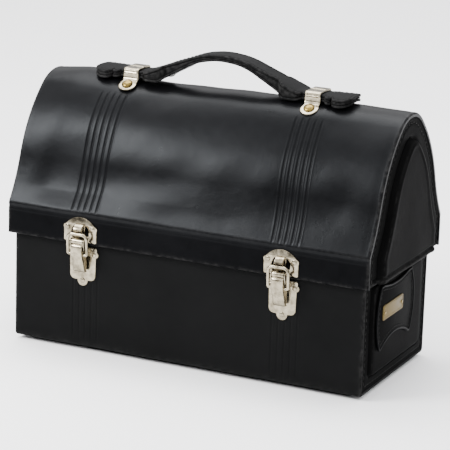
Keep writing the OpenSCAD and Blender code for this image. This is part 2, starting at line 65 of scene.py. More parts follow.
LID_LO, LID_HI = node_box("lid_wrap")
LID_END_HI = node_box("lid_end_right")[1]
BASE_LO, BASE_HI = node_box("base_wrap")
BASE_END_LO, BASE_END_HI = node_box("base_end_right")
SOLE_LO, SOLE_HI = node_box("base_sole")
STRAP_LO, STRAP_HI = node_box("handle_top")
PATCH_LO, PATCH_HI = node_box("label_patch")
PLAQUE_LO, PLAQUE_HI = node_box("label_plate")

LID_Y = (LID_LO[1] + LID_HI[1]) / 2
LID_HALF = (LID_HI[1] - LID_LO[1]) / 2
LID_X = LID_HI[0]
LID_TOP = LID_HI[2]
SKIRT_Z = LID_LO[2]
LID_HIDE = 2.8
BASE_X = BASE_HI[0]
BASE_Y = BASE_HI[1]
BASE_TOP = BASE_HI[2]
BASE_BOTTOM = BASE_LO[2]
BASE_HIDE = 2.4
BOTTOM_R = 3.0
GAP = 0.05

# The dome's arcs: radii, and the angles from straight up where one meets the next
CROWN_R = 30.0
SHOULDER_R = 96.0
FLARE_R = 120.0
NOSE_R = 6.0
CROWN_A, SHOULDER_A, FLARE_A = (math.radians(a) for a in (40, 72, 57))

LOOP_XS = [sum(b[0] for b in node_box(f"handle_loop_{side}")) / 2 for side in ("left", "right")]
LATCH_XS = [sum(b[0] for b in node_box(f"catch_plate_{side}")) / 2 for side in ("left", "right")]


# ---------- mesh helpers ----------


def link(name, mesh):
    obj = bpy.data.objects.new(name, mesh)
    bpy.context.scene.collection.objects.link(obj)
    return obj


def mesh_object(name, verts, faces, sharp=40, wear_and_highlight=None):
    """A mesh object from points in millimetres, with outward normals and smooth shading."""
    mesh = bpy.data.meshes.new(name)
    mesh.from_pydata((np.asarray(verts, float) * MM).tolist(), [], faces)
    if wear_and_highlight is not None:
        layer = mesh.attributes.new("wear_and_highlight", "FLOAT", "POINT")
        layer.data.foreach_set("value", np.asarray(wear_and_highlight, np.float32))
    bm = bmesh.new()
    bm.from_mesh(mesh)
    bmesh.ops.remove_doubles(bm, verts=bm.verts, dist=1e-7)
    bmesh.ops.recalc_face_normals(bm, faces=bm.faces)
    bm.to_mesh(mesh)
    bm.free()
    mesh.shade_smooth()
    mesh.set_sharp_from_angle(angle=math.radians(sharp))
    return link(name, mesh)


def grid_faces(index, flip=False):
    """Quads over a 2-D array of vertex numbers."""
    a, b = index[:-1, :-1].ravel(), index[1:, :-1].ravel()
    c, d = index[1:, 1:].ravel(), index[:-1, 1:].ravel()
    quads = np.stack([a, d, c, b] if flip else [a, b, c, d], axis=1)
    return quads.tolist()


def tube_faces(rows, sides):
    """The vertex numbers of a tube's rings, and the quads round it."""
    index = np.arange(rows * sides).reshape(rows, sides)
    return index, grid_faces(np.concatenate([index, index[:, :1]], axis=1))


def closed_tube(rows, sides):
    """The faces of a tube with a flat cap at each end."""
    index, faces = tube_faces(rows, sides)
    return faces + [index[0].tolist(), index[-1].tolist()]


def slab_part(outer, inner, folded=False):
    """A closed slab between two grids of points of the same shape. A folded grid's last row doubles
    back on itself, so it needs no wall there."""
    rows, cols = outer.shape[:2]
    count = rows * cols
    index = np.arange(count).reshape(rows, cols)
    if folded:
        rim = np.concatenate([index[:0:-1, 0], index[0], index[1:, -1]])
        rim, after = rim[:-1], rim[1:]
    else:
        rim = np.concatenate([index[0, :-1], index[:-1, -1], index[-1, :0:-1], index[:0:-1, 0]])
        after = np.roll(rim, -1)
    faces = grid_faces(index) + grid_faces(index + count, flip=True)
    faces += np.stack([rim, rim + count, after + count, after], axis=1).tolist()
    return np.concatenate([outer.reshape(-1, 3), inner.reshape(-1, 3)]), faces


INNER_WEAR_AND_HIGHLIGHT = 0.3    # share of the rubbed wear and painted highlight that the inner face of a hide has


def plate_solid(name, outer, inner, wear_and_highlight, sharp=40, folded=False):
    """A slab as an object, with the rubbed wear and painted highlight at each point of its outer face."""
    verts, faces = slab_part(outer, inner, folded)
    wear_and_highlight = wear_and_highlight.ravel()
    return mesh_object(name, verts, faces, sharp, np.concatenate([wear_and_highlight, wear_and_highlight * INNER_WEAR_AND_HIGHLIGHT]))


def ring_solid(name, rings, wear_and_highlight):
    """A closed solid through closed rings, its ends filled to their centres, with a value of rubbed wear and
    painted highlight for each ring or each point."""
    rings = np.asarray(rings, float)
    count, points = rings.shape[:2]
    index, faces = tube_faces(count, points)
    verts = np.concatenate([rings.reshape(-1, 3), rings[:1].mean(axis=1), rings[-1:].mean(axis=1)])
    first, last = count * points, count * points + 1
    for k in range(points):
        n = (k + 1) % points
        faces.append([int(index[0, n]), int(index[0, k]), first])
        faces.append([int(index[-1, k]), int(index[-1, n]), last])
    wear_and_highlight = np.broadcast_to(np.asarray(wear_and_highlight, float).reshape(count, -1), (count, points))
    wear_and_highlight = np.concatenate([wear_and_highlight.ravel(), [wear_and_highlight[0].mean(), wear_and_highlight[-1].mean()]])
    return mesh_object(name, verts, faces, wear_and_highlight=wear_and_highlight)


def join_parts(name, parts, sharp=40):
    """One mesh object from several (points, faces) parts."""
    verts, faces, base = [], [], 0
    for points, polygons in parts:
        verts.append(np.asarray(points, float))
        faces += [[int(i) + base for i in f] for f in polygons]
        base += len(points)
    return mesh_object(name, np.concatenate(verts), faces, sharp)


def unit(vectors):
    """Vectors scaled to a length of one."""
    return vectors / np.linalg.norm(vectors, axis=-1, keepdims=True)


def run_length(line):
    """The distance along a polyline at each of its points."""
    return np.concatenate([[0], np.cumsum(np.linalg.norm(np.diff(line, axis=0), axis=1))])


def waves(seed, a, b, length, height, count=7):
    """Gentle unevenness over two coordinates, the same each run."""
    rng = np.random.default_rng(seed)
    total = np.zeros(np.broadcast(a, b).shape)
    for _ in range(count):
        angle = rng.uniform(0, 2 * math.pi)
        scale = 2 * math.pi / (length * rng.uniform(0.6, 1.6))
        phase = rng.uniform(0, 2 * math.pi)
        total += np.sin((a * math.cos(angle) + b * math.sin(angle)) * scale + phase)
    return total * height / math.sqrt(count)


def edge_steps(radius):
    """Distances from an edge at which a rounded edge needs a line of points."""
    return radius * (1 - np.cos(np.linspace(0, math.pi / 2, 5)))


def edge_drop(distance, radius):
    """How far a rounded edge falls below the face, at a distance from the edge."""
    d = np.clip(radius - distance, 0, radius)
    return radius - np.sqrt(radius * radius - d * d)


def spread(low, high, step):
    """Evenly spaced values from low to high, about a step apart, ends included."""
    return np.linspace(low, high, max(2, int(round(abs(high - low) / step)) + 1))


# ---------- the dome's outline ----------

CROWN_C = np.array([0, LID_TOP - CROWN_R])
MIRROR = np.array([-1, 1])


def turned(angle):
    """The direction at an angle from straight up."""
    return np.stack([np.sin(angle), np.cos(angle)], axis=-1)


SHOULDER_C = CROWN_C + (CROWN_R - SHOULDER_R) * turned(CROWN_A)
FLARE_C = SHOULDER_C + (SHOULDER_R + FLARE_R) * turned(SHOULDER_A)
NOSE_C = FLARE_C - (FLARE_R + NOSE_R) * turned(FLARE_A)


def dome_half(inset, step=1.2, extra=()):
    """The dome's right half from the top down: points, outward normals."""
    arcs = [
        (CROWN_C, CROWN_R - inset, 0, CROWN_A, CROWN_R),
        (SHOULDER_C, SHOULDER_R - inset, CROWN_A, SHOULDER_A, SHOULDER_R),
        (FLARE_C, -(FLARE_R + inset), SHOULDER_A, FLARE_A, FLARE_R),
        (NOSE_C, NOSE_R - inset, FLARE_A, math.pi / 2, NOSE_R),
    ]
    points, normals = [], []
    for k, (centre, radius, a0, a1, full) in enumerate(arcs):
        count = max(5, int(full * abs(a1 - a0) / step))
        angles = np.linspace(a0, a1, count + 1)[(0 if k == 0 else 1):]
        points.append(centre + radius * turned(angles))
        normals.append(turned(angles))
    straight = spread(NOSE_C[1], SKIRT_Z, step)[1:]
    straight = np.array(sorted(set(straight) | set(extra), reverse=True))
    points.append(np.stack([np.full(len(straight), LID_HALF - inset), straight], axis=1))
    normals.append(np.tile([1.0, 0.0], (len(straight), 1)))
    return np.concatenate(points), np.concatenate(normals)


def whole_outline(half, normals):
    """From the front skirt's lower edge over the top to the back's, in Y and Z."""
    points = np.concatenate([half[:0:-1] * MIRROR, half])
    directions = np.concatenate([normals[:0:-1] * MIRROR, normals])
    return points + [LID_Y, 0], directions


def hide_grids(x, outline, normals, height, thickness):
    """The outer and inner face of a hide that follows an outline in Y and Z, along X."""
    y, z = outline[:, 0], outline[:, 1]
    ny, nz = normals[:, 0], normals[:, 1]
    depth = np.full_like(x, -thickness)
    return [np.stack([x, y + ny * rise, z + nz * rise], axis=-1) for rise in (height, depth)]


# ---------- pressed decoration ----------

FLUTES = 5
FLUTE_PITCH = 4.5
FLUTE_W = 0.6
FLUTE_DEPTH = 0.46
SWELL = 0.17        # height of the swelling beside a line, as a share of the line's depth
SWELL_AT = 2.1      # and where it is, in widths from the line


def flute_depth(x, centre, depth=FLUTE_DEPTH):
    """Five pressed lines side by side, with the leather swelling a little between them."""
    total = np.zeros_like(x)
    for k in range(FLUTES):
        d = (x - centre - (k - (FLUTES - 1) / 2) * FLUTE_PITCH) / FLUTE_W
        total -= depth * np.exp(-d * d)
        total += SWELL * depth * np.exp(-((np.abs(d) - SWELL_AT) ** 2))
    return total


def x_stations(half, centres, edge_r, fine=0.3, coarse=2.6, reach=14):
    """Places along X: fine where the flutes are, coarse elsewhere, and lines for the rounded ends."""
    marks = set(np.round(spread(-half + 3, half - 3, coarse), 4))
    for c in centres:
        marks = {m for m in marks if abs(m - c) > reach}
        marks |= set(np.round(spread(c - reach, c + reach, fine), 4))
    for d in list(edge_steps(edge_r)) + [edge_r * 1.6]:
        marks |= {-half + d, half - d}
    return np.array(sorted(marks))


# ---------- materials ----------


class Nodes:
    """Short calls for a material's node tree."""

    def __init__(self, name):
        self.material = bpy.data.materials.new(name)
        self.material.use_nodes = True
        self.tree = self.material.node_tree
        self.shader = self.tree.nodes["Principled BSDF"]

    def feed(self, socket, value):
        """Gives a socket a link, a colour or a number."""
        if isinstance(value, bpy.types.NodeSocket):
            self.tree.links.new(value, socket)
        elif socket.type == "RGBA":
            socket.default_value = (*value, 1)
        else:
            socket.default_value = value

    def add(self, kind, output, inputs, **settings):
        """A new node with its inputs and settings; returns one of its outputs."""
        node = self.tree.nodes.new(kind)
        for key, value in settings.items():
            setattr(node, key, value)
        for key, value in inputs.items():
            self.feed(node.inputs[key], value)
        return node.outputs[output]

    def coords(self, scale=(1, 1, 1)):
        place = self.add("ShaderNodeTexCoord", "Object", {})
        return self.add("ShaderNodeMapping", "Vector", {"Vector": place, "Scale": scale})

    def noise(self, scale, detail=4, roughness=0.5, vector=None):
        return self.add("ShaderNodeTexNoise", "Fac", {
            "Vector": vector or self.coords(), "Scale": scale, "Detail": detail, "Roughness": roughness})

    def ramp(self, source, stops):
        node = self.tree.nodes.new("ShaderNodeValToRGB")
        for element, (position, color) in zip(node.color_ramp.elements, stops):
            element.position = position
            element.color = (*color, 1)
        self.feed(node.inputs["Fac"], source)
        return node.outputs["Color"]

    def range(self, source, low, high, from_low=0.0, from_high=1.0):
        return self.add("ShaderNodeMapRange", "Result", {
            "Value": source, "From Min": from_low, "From Max": from_high, "To Min": low, "To Max": high})

    def math(self, operation, a, b):
        return self.add("ShaderNodeMath", "Value", {0: a, 1: b}, operation=operation)

    def mix(self, factor, a, b):
        return self.add("ShaderNodeMix", 2, {0: factor, 6: a, 7: b}, data_type="RGBA")

    def bump(self, height, strength, distance, under=None):
        inputs = {"Height": height, "Strength": strength, "Distance": distance}
        if under is not None:
            inputs["Normal"] = under
        return self.add("ShaderNodeBump", "Normal", inputs)

    def set(self, **values):
        """Sets the shader's own sockets and returns the material."""
        for key, value in values.items():
            self.feed(self.shader.inputs[key.replace("_", " ")], value)
        return self.material


# The lighter tone of rubbed leather. It also serves as painted highlight along edges, ridges and rims.
RUBBED_AND_HIGHLIGHT = (0.022, 0.0215, 0.021)


def leather(name, dark, light, rough, shine, grain, shade_painted_below=None):
    """Black hide: fine pores over a soft creasing, uneven dye and polish, and a lighter tone that is rubbed
    wear along edges, partly painted highlight there, and painted highlight on ridges and rims. Where a
    height in millimetres is given, the hide below it has a quarter of the shine: painted shade."""
    n = Nodes(name)
    # Less shine below the given height: painted shade on the upright skirt.
    if shade_painted_below is not None:
        height = n.add("ShaderNodeSeparateXYZ", "Z", {"Vector": n.coords()})
        shine = n.range(height, shine * 0.25, shine, (shade_painted_below - 1) * MM, (shade_painted_below + 1.5) * MM)
    patches = n.noise(22, 5, 0.6)
    smears = n.noise(160, 4, 0.65)
    blend = n.math("ADD", n.math("MULTIPLY", patches, 0.7), n.math("MULTIPLY", smears, 0.3))
    color = n.ramp(blend, [(0.35, dark), (0.68, light)])
    # Where the mesh's per-point value is high, the hide takes that lighter tone: rubbed wear, and painted
    # highlight on edges, ridges and rims.
    patchiness = n.range(n.noise(300, 5, 0.7), 0.0, 1.0, 0.42, 0.66)
    wear_and_highlight = n.add("ShaderNodeAttribute", "Fac", {}, attribute_name="wear_and_highlight")
    worn_and_lit = n.math("MINIMUM", n.math("MULTIPLY", wear_and_highlight, patchiness), 1.0)
    color = n.mix(worn_and_lit, color, RUBBED_AND_HIGHLIGHT)
    roughness = n.range(blend, rough - 0.05, rough + 0.06, 0.3, 0.7)
    roughness = n.math("ADD", roughness, n.math("MULTIPLY", worn_and_lit, 0.1))
    cells = n.add("ShaderNodeTexVoronoi", "Distance", {"Vector": n.coords(), "Scale": 1150},
                  feature="DISTANCE_TO_EDGE")
    pores = n.range(cells, 0.0, 1.0, 0.0, 0.12)
    soft = n.bump(n.noise(48, 4, 0.55), 0.22, 0.0012)
    fine = n.bump(n.noise(700, 5, 0.65), grain, 0.00016, soft)
    normal = n.bump(pores, grain, 0.00004, fine)
    # The bluish specular tint is the cool cast of the light, painted into the hide's reflections.
    return n.set(Base_Color=color, Roughness=roughness, Normal=normal, IOR=1.5,
                 Specular_IOR_Level=shine, Specular_Tint=(0.90, 0.95, 1.0))


def metal(name, color, dark, rough, scratch=0.12):
    """Plated metal: faint brushing and handling marks, with a duller tone in patches."""
    n = Nodes(name)
    haze = n.noise(180, 5, 0.65)
    streak = n.noise(1400, 3, 0.6, n.coords((1, 1, 0.06)))
    tone = n.ramp(haze, [(0.30, dark), (0.62, color)])
    roughness = n.math("ADD", n.range(haze, rough - 0.05, rough + 0.12, 0.35, 0.7),
                       n.math("MULTIPLY", streak, 0.08))
    dents = n.bump(n.noise(260, 2, 0.5), 0.08, 0.0006)
    normal = n.bump(streak, scratch, 0.00003, dents)
    return n.set(Base_Color=tone, Metallic=1.0, Roughness=roughness, Normal=normal)


def thread_material():
    """Dark waxed thread with a fine twist."""
    n = Nodes("waxed_thread")
    twist = n.add("ShaderNodeTexWave", "Fac", {"Vector": n.coords(), "Scale": 900},
                  wave_type="BANDS", bands_direction="DIAGONAL")
    color = n.ramp(n.noise(700, 3), [(0.3, (0.006, 0.006, 0.006)), (0.7, (0.016, 0.0155, 0.015))])
    return n.set(Base_Color=color, Roughness=0.55, Specular_IOR_Level=0.05, Normal=n.bump(twist, 0.5, 0.0001))


def cloth_material():
    """Tan woven cloth with a slight sheen."""
    n = Nodes("woven_lining")
    weave = n.add("ShaderNodeTexBrick", "Fac", {"Vector": n.coords(), "Scale": 700, "Mortar Size": 0.08})
    shade = n.ramp(n.noise(40, 5), [(0.3, (0.26, 0.20, 0.13)), (0.7, (0.36, 0.29, 0.20))])
    color = n.mix(n.math("MULTIPLY", weave, 0.5), shade, (0.16, 0.12, 0.08))
    return n.set(Base_Color=color, Roughness=0.85, Sheen_Weight=0.3, Normal=n.bump(weave, 0.4, 0.0002))


def board_material():
    """Brown pressed fibreboard."""
    n = Nodes("fibre_board")
    fibre = n.noise(500, 6, 0.7, n.coords((1, 1, 0.3)))
    color = n.ramp(fibre, [(0.3, (0.16, 0.10, 0.06)), (0.7, (0.30, 0.20, 0.12))])
    return n.set(Base_Color=color, Roughness=0.8, Normal=n.bump(fibre, 0.3, 0.0002))


RIDGE_Z = SKIRT_Z + 16.4
# The lid's hide has less shine below the ridge: painted shade on the upright skirt.
LID_LEATHER = leather("smooth_lid_leather", (0.0012, 0.0012, 0.0014), (0.0030, 0.0030, 0.0034),
                      0.30, 0.07, 0.20, shade_painted_below=RIDGE_Z)
BASE_LEATHER = leather("matte_box_leather", (0.0036, 0.0036, 0.0036), (0.0052, 0.0052, 0.0052),
                       0.58, 0.025, 0.28)
END_LEATHER = leather("moulded_end_leather", (0.0022, 0.0022, 0.0022), (0.0036, 0.0036, 0.0036),
                      0.42, 0.004, 0.28)
STRAP_LEATHER = leather("strap_leather", (0.0020, 0.0020, 0.0020), (0.0052, 0.0050, 0.0050),
                        0.46, 0.028, 0.40)
PIPING_LEATHER = leather("rolled_edge_leather", (0.0010, 0.0010, 0.0011), (0.0022, 0.0022, 0.0024),
                         0.36, 0.02, 0.1)
NICKEL = metal("nickel_plate", (0.38, 0.335, 0.245), (0.11, 0.093, 0.062), 0.15)
BRASS = metal("aged_brass", (0.22, 0.155, 0.045), (0.07, 0.048, 0.015), 0.17)
PLAQUE_BRASS = metal("brass_plaque", (0.145, 0.108, 0.042), (0.075, 0.055, 0.02), 0.46, 0.2)
THREAD = thread_material()
LINING = cloth_material()
BOARD = board_material()


def finish_piece(obj, material, body, slot, *nodes):
    """Gives a piece its material and its body, and hides the CAD nodes that it stands for. slot is not used.
    """
    obj.data.materials.clear()
    obj.data.materials.append(material)
    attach(obj, body)
    if nodes:
        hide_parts(*nodes)
    return obj


# ---------- lid ----------

LID_EDGE_R = 1.3
FLUTE_TOP_XS = [-74.0, 67.0]
FLUTE_RIDGE_XS = [-72.8, 72.3]


def lid_wrap():
    """The lid's hide: skirt, flare, dome and back skirt, with pressed flutes and a crease at the ridge."""
    near_edge = [SKIRT_Z + d for d in edge_steps(LID_EDGE_R)]
    outline, normals = whole_outline(*dome_half(0, 1.1, near_edge))
    xs = x_stations(LID_X, [(a + b) / 2 for a, b in zip(FLUTE_TOP_XS, FLUTE_RIDGE_XS)], LID_EDGE_R, reach=18)
    x, z = np.meshgrid(xs, outline[:, 1], indexing="ij")
    ridge_z = NOSE_C[1]
    run = np.broadcast_to(run_length(outline), x.shape)
    up = np.clip((z - ridge_z) / (LID_TOP - ridge_z), 0, 1)
    fade = np.clip((z - ridge_z - 1.5) / 5, 0, 1) * np.clip((LID_TOP - 7.5 - z) / 2.5, 0, 1)
    height = np.zeros_like(x)
    for top_x, ridge_x in zip(FLUTE_TOP_XS, FLUTE_RIDGE_XS):
        height += flute_depth(x, ridge_x + (top_x - ridge_x) * up) * fade
    crease = (z - (ridge_z - 0.6)) / 0.8
    height -= 0.6 * np.exp(-crease * crease)
    side_line = (np.abs(np.abs(x) - (LID_X - 2.6))) / 0.45
    height -= 0.3 * np.exp(-side_line * side_line)
    inside = np.clip((LID_X - np.abs(x)) / 25, 0, 1)
    formed = inside * np.clip((z - ridge_z) / 14, 0.08, 1) * (1 + 0.7 * np.clip(-x / 90, 0, 1))
    height += waves(4, x, run, 80, 0.75) * formed + waves(9, x, run, 30, 0.16) * formed
    edge = np.minimum(LID_X - np.abs(x), z - SKIRT_Z + 100 * (z > ridge_z))
    height -= edge_drop(edge, LID_EDGE_R)
    # Lighter tone along the lid's edges: rubbed wear and a painted edge highlight. The faint band just above
    # the ridge crease is a painted highlight.
    wear_and_highlight = np.exp(-(np.maximum(edge, 0) / 1.6) ** 2)
    wear_and_highlight = np.maximum(wear_and_highlight, 0.25 * np.exp(-((z - ridge_z - 1.5) / 1.8) ** 2))
    outer, inner = hide_grids(x, outline, normals, height, LID_HIDE)
    obj = plate_solid("lid_hide", outer, inner, wear_and_highlight)
    return finish_piece(obj, LID_LEATHER, "lid", "smooth_leather", "lid_wrap")


PANEL_FOOT = 18.0 - 0.6     # from the lid's outline to the foot of the raised panel
SEAM = 0.5
STITCH_IN = 6.6
LOW_EDGE_R = 1.2
CROWN_N, SHOULDER_N, FLARE_N, NOSE_N, SKIRT_N = 26, 40, 24, 8, 18


def end_arcs(inset, flare_end):
    """The crown, shoulder and flare of an end's right half, from the top down."""
    return [
        CROWN_C + (CROWN_R - inset) * turned(np.linspace(0, CROWN_A, CROWN_N)),
        SHOULDER_C + (SHOULDER_R - inset) * turned(np.linspace(CROWN_A, SHOULDER_A, SHOULDER_N + 1)[1:]),
        FLARE_C - (FLARE_R + inset) * turned(np.linspace(SHOULDER_A, flare_end, FLARE_N + 1)[1:]),
    ]


def end_side(inset, zs):
    """The straight side of an end's right half, at given heights."""
    return np.stack([np.full(len(zs), LID_HALF - inset), zs], axis=1)


def skirt_steps(start):
    """Heights from start down to the skirt's edge, with lines for its rounded lower edge."""
    near = [SKIRT_Z + d for d in edge_steps(LOW_EDGE_R)[::-1]]
    return np.concatenate([np.linspace(start, near[0] + 1, SKIRT_N - len(near) + 1)[1:], near])


def panel_half(inset):
    """The raised end panel's right half. Each stretch has a fixed count of points."""
    parts = end_arcs(inset, math.asin((FLARE_C[0] - LID_HALF + inset) / (FLARE_R + inset)))
    corner_z = parts[-1][-1, 1]
    low = corner_z - 2.0
    zs = np.concatenate([np.linspace(corner_z, low, NOSE_N + 1)[1:], skirt_steps(low)])
    return np.concatenate(parts + [end_side(inset, zs)])


def border_half(inset):
    """The same points on the lid's own outline, where the border of the end panel meets the hide."""
    nose = NOSE_C + (NOSE_R - inset) * turned(np.linspace(FLARE_A, math.pi / 2, NOSE_N + 1)[1:])
    return np.concatenate(end_arcs(inset, FLARE_A) + [nose, end_side(inset, skirt_steps(nose[-1, 1]))])


def lid_end(side, sign):
    """A moulded lid end: a flat stitched border round a raised panel with rolled edges."""
    rise = LID_END_HI[0] - LID_X
    border, foot = border_half(LID_HIDE + GAP), panel_half(PANEL_FOOT)
    steps = []
    for share in np.linspace(0, 1, 25)[:-1]:
        inset = LID_HIDE + (PANEL_FOOT - LID_HIDE) * share
        groove = 0.45 * math.exp(-((inset - STITCH_IN) / 1.0) ** 2)
        groove += 1.3 * math.exp(-((share - 0.93) / 0.09) ** 2)
        steps.append((border * (1 - share) + foot * share, -SEAM - groove + 0.25 * share))
    wall = [(0.0, 0.15), (0.25, 0.9), (0.55, 1.9), (1.0, 2.75), (1.7, 3.35), (2.6, 3.75), (3.8, 3.95)]
    for extra, height in wall:
        steps.append((panel_half(PANEL_FOOT + extra), height * rise / 4.0 - 0.12))
    last = steps[-1][0]
    spine_z = np.minimum(last[:, 1], CROWN_C[1] - 6)
    spine = np.stack([np.zeros(len(last)), spine_z], axis=1)
    for share in np.linspace(0, 1, 15)[1:]:
        swell = 0.1 * (1 - (1 - share) ** 2)
        steps.append((last * (1 - share) + spine * share, (3.95 + swell) * rise / 4.0 - 0.62))
    lines = np.stack([s[0] for s in steps])
    heights = np.stack([np.full(lines.shape[1], s[1]) for s in steps])
    lines = np.concatenate([lines[:, :0:-1] * MIRROR, lines], axis=1)
    heights = np.concatenate([heights[:, :0:-1], heights], axis=1)
    y, z = lines[..., 0] + LID_Y, lines[..., 1]
    above = z - SKIRT_Z
    heights = heights - edge_drop(above, LOW_EDGE_R) + waves(21 + sign, y, z, 45, 0.12)
    heights += 0.5 * np.exp(-((above - 1.9) / 0.9) ** 2) - 0.75 * np.exp(-((above - 4.4) / 0.8) ** 2)
    heights = np.minimum(heights, rise)
    # The band along the rolled lower rim is a painted highlight, and so is the band on the rounded edge of
    # the raised panel.
    wear_and_highlight = np.exp(-((above - 1.5) / 1.3) ** 2)
    level = np.clip(heights / rise, 0, 1)
    wear_and_highlight = np.maximum(wear_and_highlight, 0.5 * np.exp(-((level - 0.75) / 0.07) ** 2))
    x = sign * (LID_X + heights)
    back = np.full_like(x, sign * (LID_X - LID_HIDE))
    outer = np.stack([x, y, z], axis=-1)
    inner = np.stack([back, y, z], axis=-1)
    obj = plate_solid(f"lid_end_{side}_hide", outer, inner, wear_and_highlight, folded=True)
    return finish_piece(obj, END_LEATHER, "lid", "matte_leather", f"lid_end_{side}")


# ---------- stitching ----------


def resample(line, step):
    """Points evenly spaced along a polyline, and the direction at each."""
    along = run_length(line)
    count = max(2, int(along[-1] / step))
    at = (np.arange(count) + 0.5) * along[-1] / count

    def place(run):
        return np.stack([np.interp(run, along, column) for column in line.T], axis=1)

    return place(at), unit(place(at + 0.2) - place(at - 0.2))


def stitch_part(centre, along, out, length, width, height):
    """One stitch: a short bowed thread that dips into the leather at both ends."""
    side = np.cross(out, along)
    rings, sides = 7, 6
    turn = np.linspace(0, 2 * math.pi, sides + 1)[:-1]
    points = []
    for t in np.linspace(-1, 1, rings):
        r = width / 2 * math.sqrt(max(0.04, 1 - abs(t) ** 3))
        spot = centre + along * t * length / 2 + out * (height * (1 - t * t) - 0.1)
        points += [spot + out * math.sin(a) * r + side * math.cos(a) * r for a in turn]
    return points, closed_tube(rings, sides)


def stitching(name, runs, body, slot, pitch=4.2, length=3.3, width=0.75, height=0.28):
    """Stitches along several lines; each run is (points, outward direction)."""
    parts = []
    for line, out in runs:
        points, directions = resample(line, pitch)
        outs = np.broadcast_to(np.asarray(out, float), line.shape)
        for point, direction in zip(points, directions):
            nearest = np.argmin(((line - point) ** 2).sum(axis=1))
            parts.append(stitch_part(point, direction, outs[nearest], length, width, height))
    obj = join_parts(name, parts, 60)
    return finish_piece(obj, THREAD, body, slot)


def lid_end_stitching(side, sign):
    """The line of stitches round the border of a lid end."""
    share = (STITCH_IN - LID_HIDE) / (PANEL_FOOT - LID_HIDE)
    half = border_half(LID_HIDE + GAP) * (1 - share) + panel_half(PANEL_FOOT) * share
    line = np.concatenate([half[:0:-1] * MIRROR, half]) + [LID_Y, 0]
    line = line[line[:, 1] > SKIRT_Z + 2]
    x = np.full(len(line), sign * (LID_X - SEAM - 0.35))
    points = np.column_stack([x, line])
    return stitching(f"lid_end_{side}_stitching", [(points, (sign, 0, 0))], "lid", "matte_leather")


# ---------- box ----------

BASE_EDGE_R = 1.1


def base_outline(extra):
    """The box's outline from the front top edge, under the bottom, to the back's: points, normals."""
    corner = BOTTOM_R
    zs = np.array(sorted(set(spread(BASE_BOTTOM + corner, BASE_TOP, 1.5)) | set(extra)))
    side = [(np.array([BASE_Y, z]), np.array([1.0, 0.0])) for z in zs[::-1]]
    centre = np.array([BASE_Y - corner, BASE_BOTTOM + corner])
    for a in np.linspace(0, math.pi / 2, 8)[1:-1]:
        out = np.array([math.cos(a), -math.sin(a)])
        side.append((centre + corner * out, out))
    for y in spread(0, BASE_Y - corner, 3.0)[::-1]:
        side.append((np.array([y, BASE_BOTTOM]), np.array([0.0, -1.0])))
    return [np.concatenate([half * MIRROR, half[-2::-1]]) for half in map(np.array, zip(*side))]


def base_wrap():
    """The box's hide, with faint flutes below the latches."""
    near = [BASE_TOP - d for d in edge_steps(0.8)]
    outline, normals = base_outline(near)
    xs = x_stations(BASE_X, FLUTE_RIDGE_XS, BASE_EDGE_R)
    x, z = np.meshgrid(xs, outline[:, 1], indexing="ij")
    y = np.broadcast_to(outline[:, 0], x.shape)
    front = (y < -BASE_Y + 0.2) * 1.0
    fade = front * np.clip((z - BASE_BOTTOM - 3) / 6, 0, 1)
    height = np.zeros_like(x)
    for centre in FLUTE_RIDGE_XS:
        height += flute_depth(x, centre, 0.24) * fade
    inside = np.clip((BASE_X - np.abs(x)) / 20, 0, 1)
    height += waves(14, x, z + y, 80, 0.16) * inside
    edge = np.minimum(BASE_X - np.abs(x), BASE_TOP - z)
    height -= edge_drop(edge, BASE_EDGE_R)
    wear_and_highlight = np.exp(-(np.maximum(edge, 0) / 1.4) ** 2)
    low_edge = (np.abs(np.abs(y) - (BASE_Y - 1.7)) + np.abs(z - BASE_BOTTOM - 1.7)) / 3
    wear_and_highlight = np.maximum(wear_and_highlight, 0.6 * np.exp(-low_edge ** 2))
    outer, inner = hide_grids(x, outline, normals, height, BASE_HIDE)
    obj = plate_solid("box_hide", outer, inner, wear_and_highlight)
    return finish_piece(obj, BASE_LEATHER, "base", "matte_leather", "base_wrap")


def rounded_ring(half_w, low, high, low_r, high_r, per_side=26, per_corner=10):
    """A closed ring in Y and Z: a rectangle with its own radii at the lower and upper corners."""
    corners = [
        (half_w - high_r, high - high_r, high_r, 0),
        (-half_w + high_r, high - high_r, high_r, 90),
        (-half_w + low_r, low + low_r, low_r, 180),
        (half_w - low_r, low + low_r, low_r, 270),
    ]
    arcs = []
    for cy, cz, r, start in corners:
        angles = np.radians(np.linspace(start, start + 90, per_corner))
        arcs.append(np.stack([cy + r * np.cos(angles), cz + r * np.sin(angles)], axis=1))
    between = np.linspace(0, 1, per_side + 2)[1:-1, None]
    points = []
    for k, arc in enumerate(arcs):
        after = arcs[(k + 1) % len(arcs)][0]
        points += [arc, arc[-1] + (after - arc[-1]) * between]
    return np.concatenate(points)


BASE_STITCH_IN = 5.4
PANEL_SIDE = 13.0
PANEL_LOW = 10.5


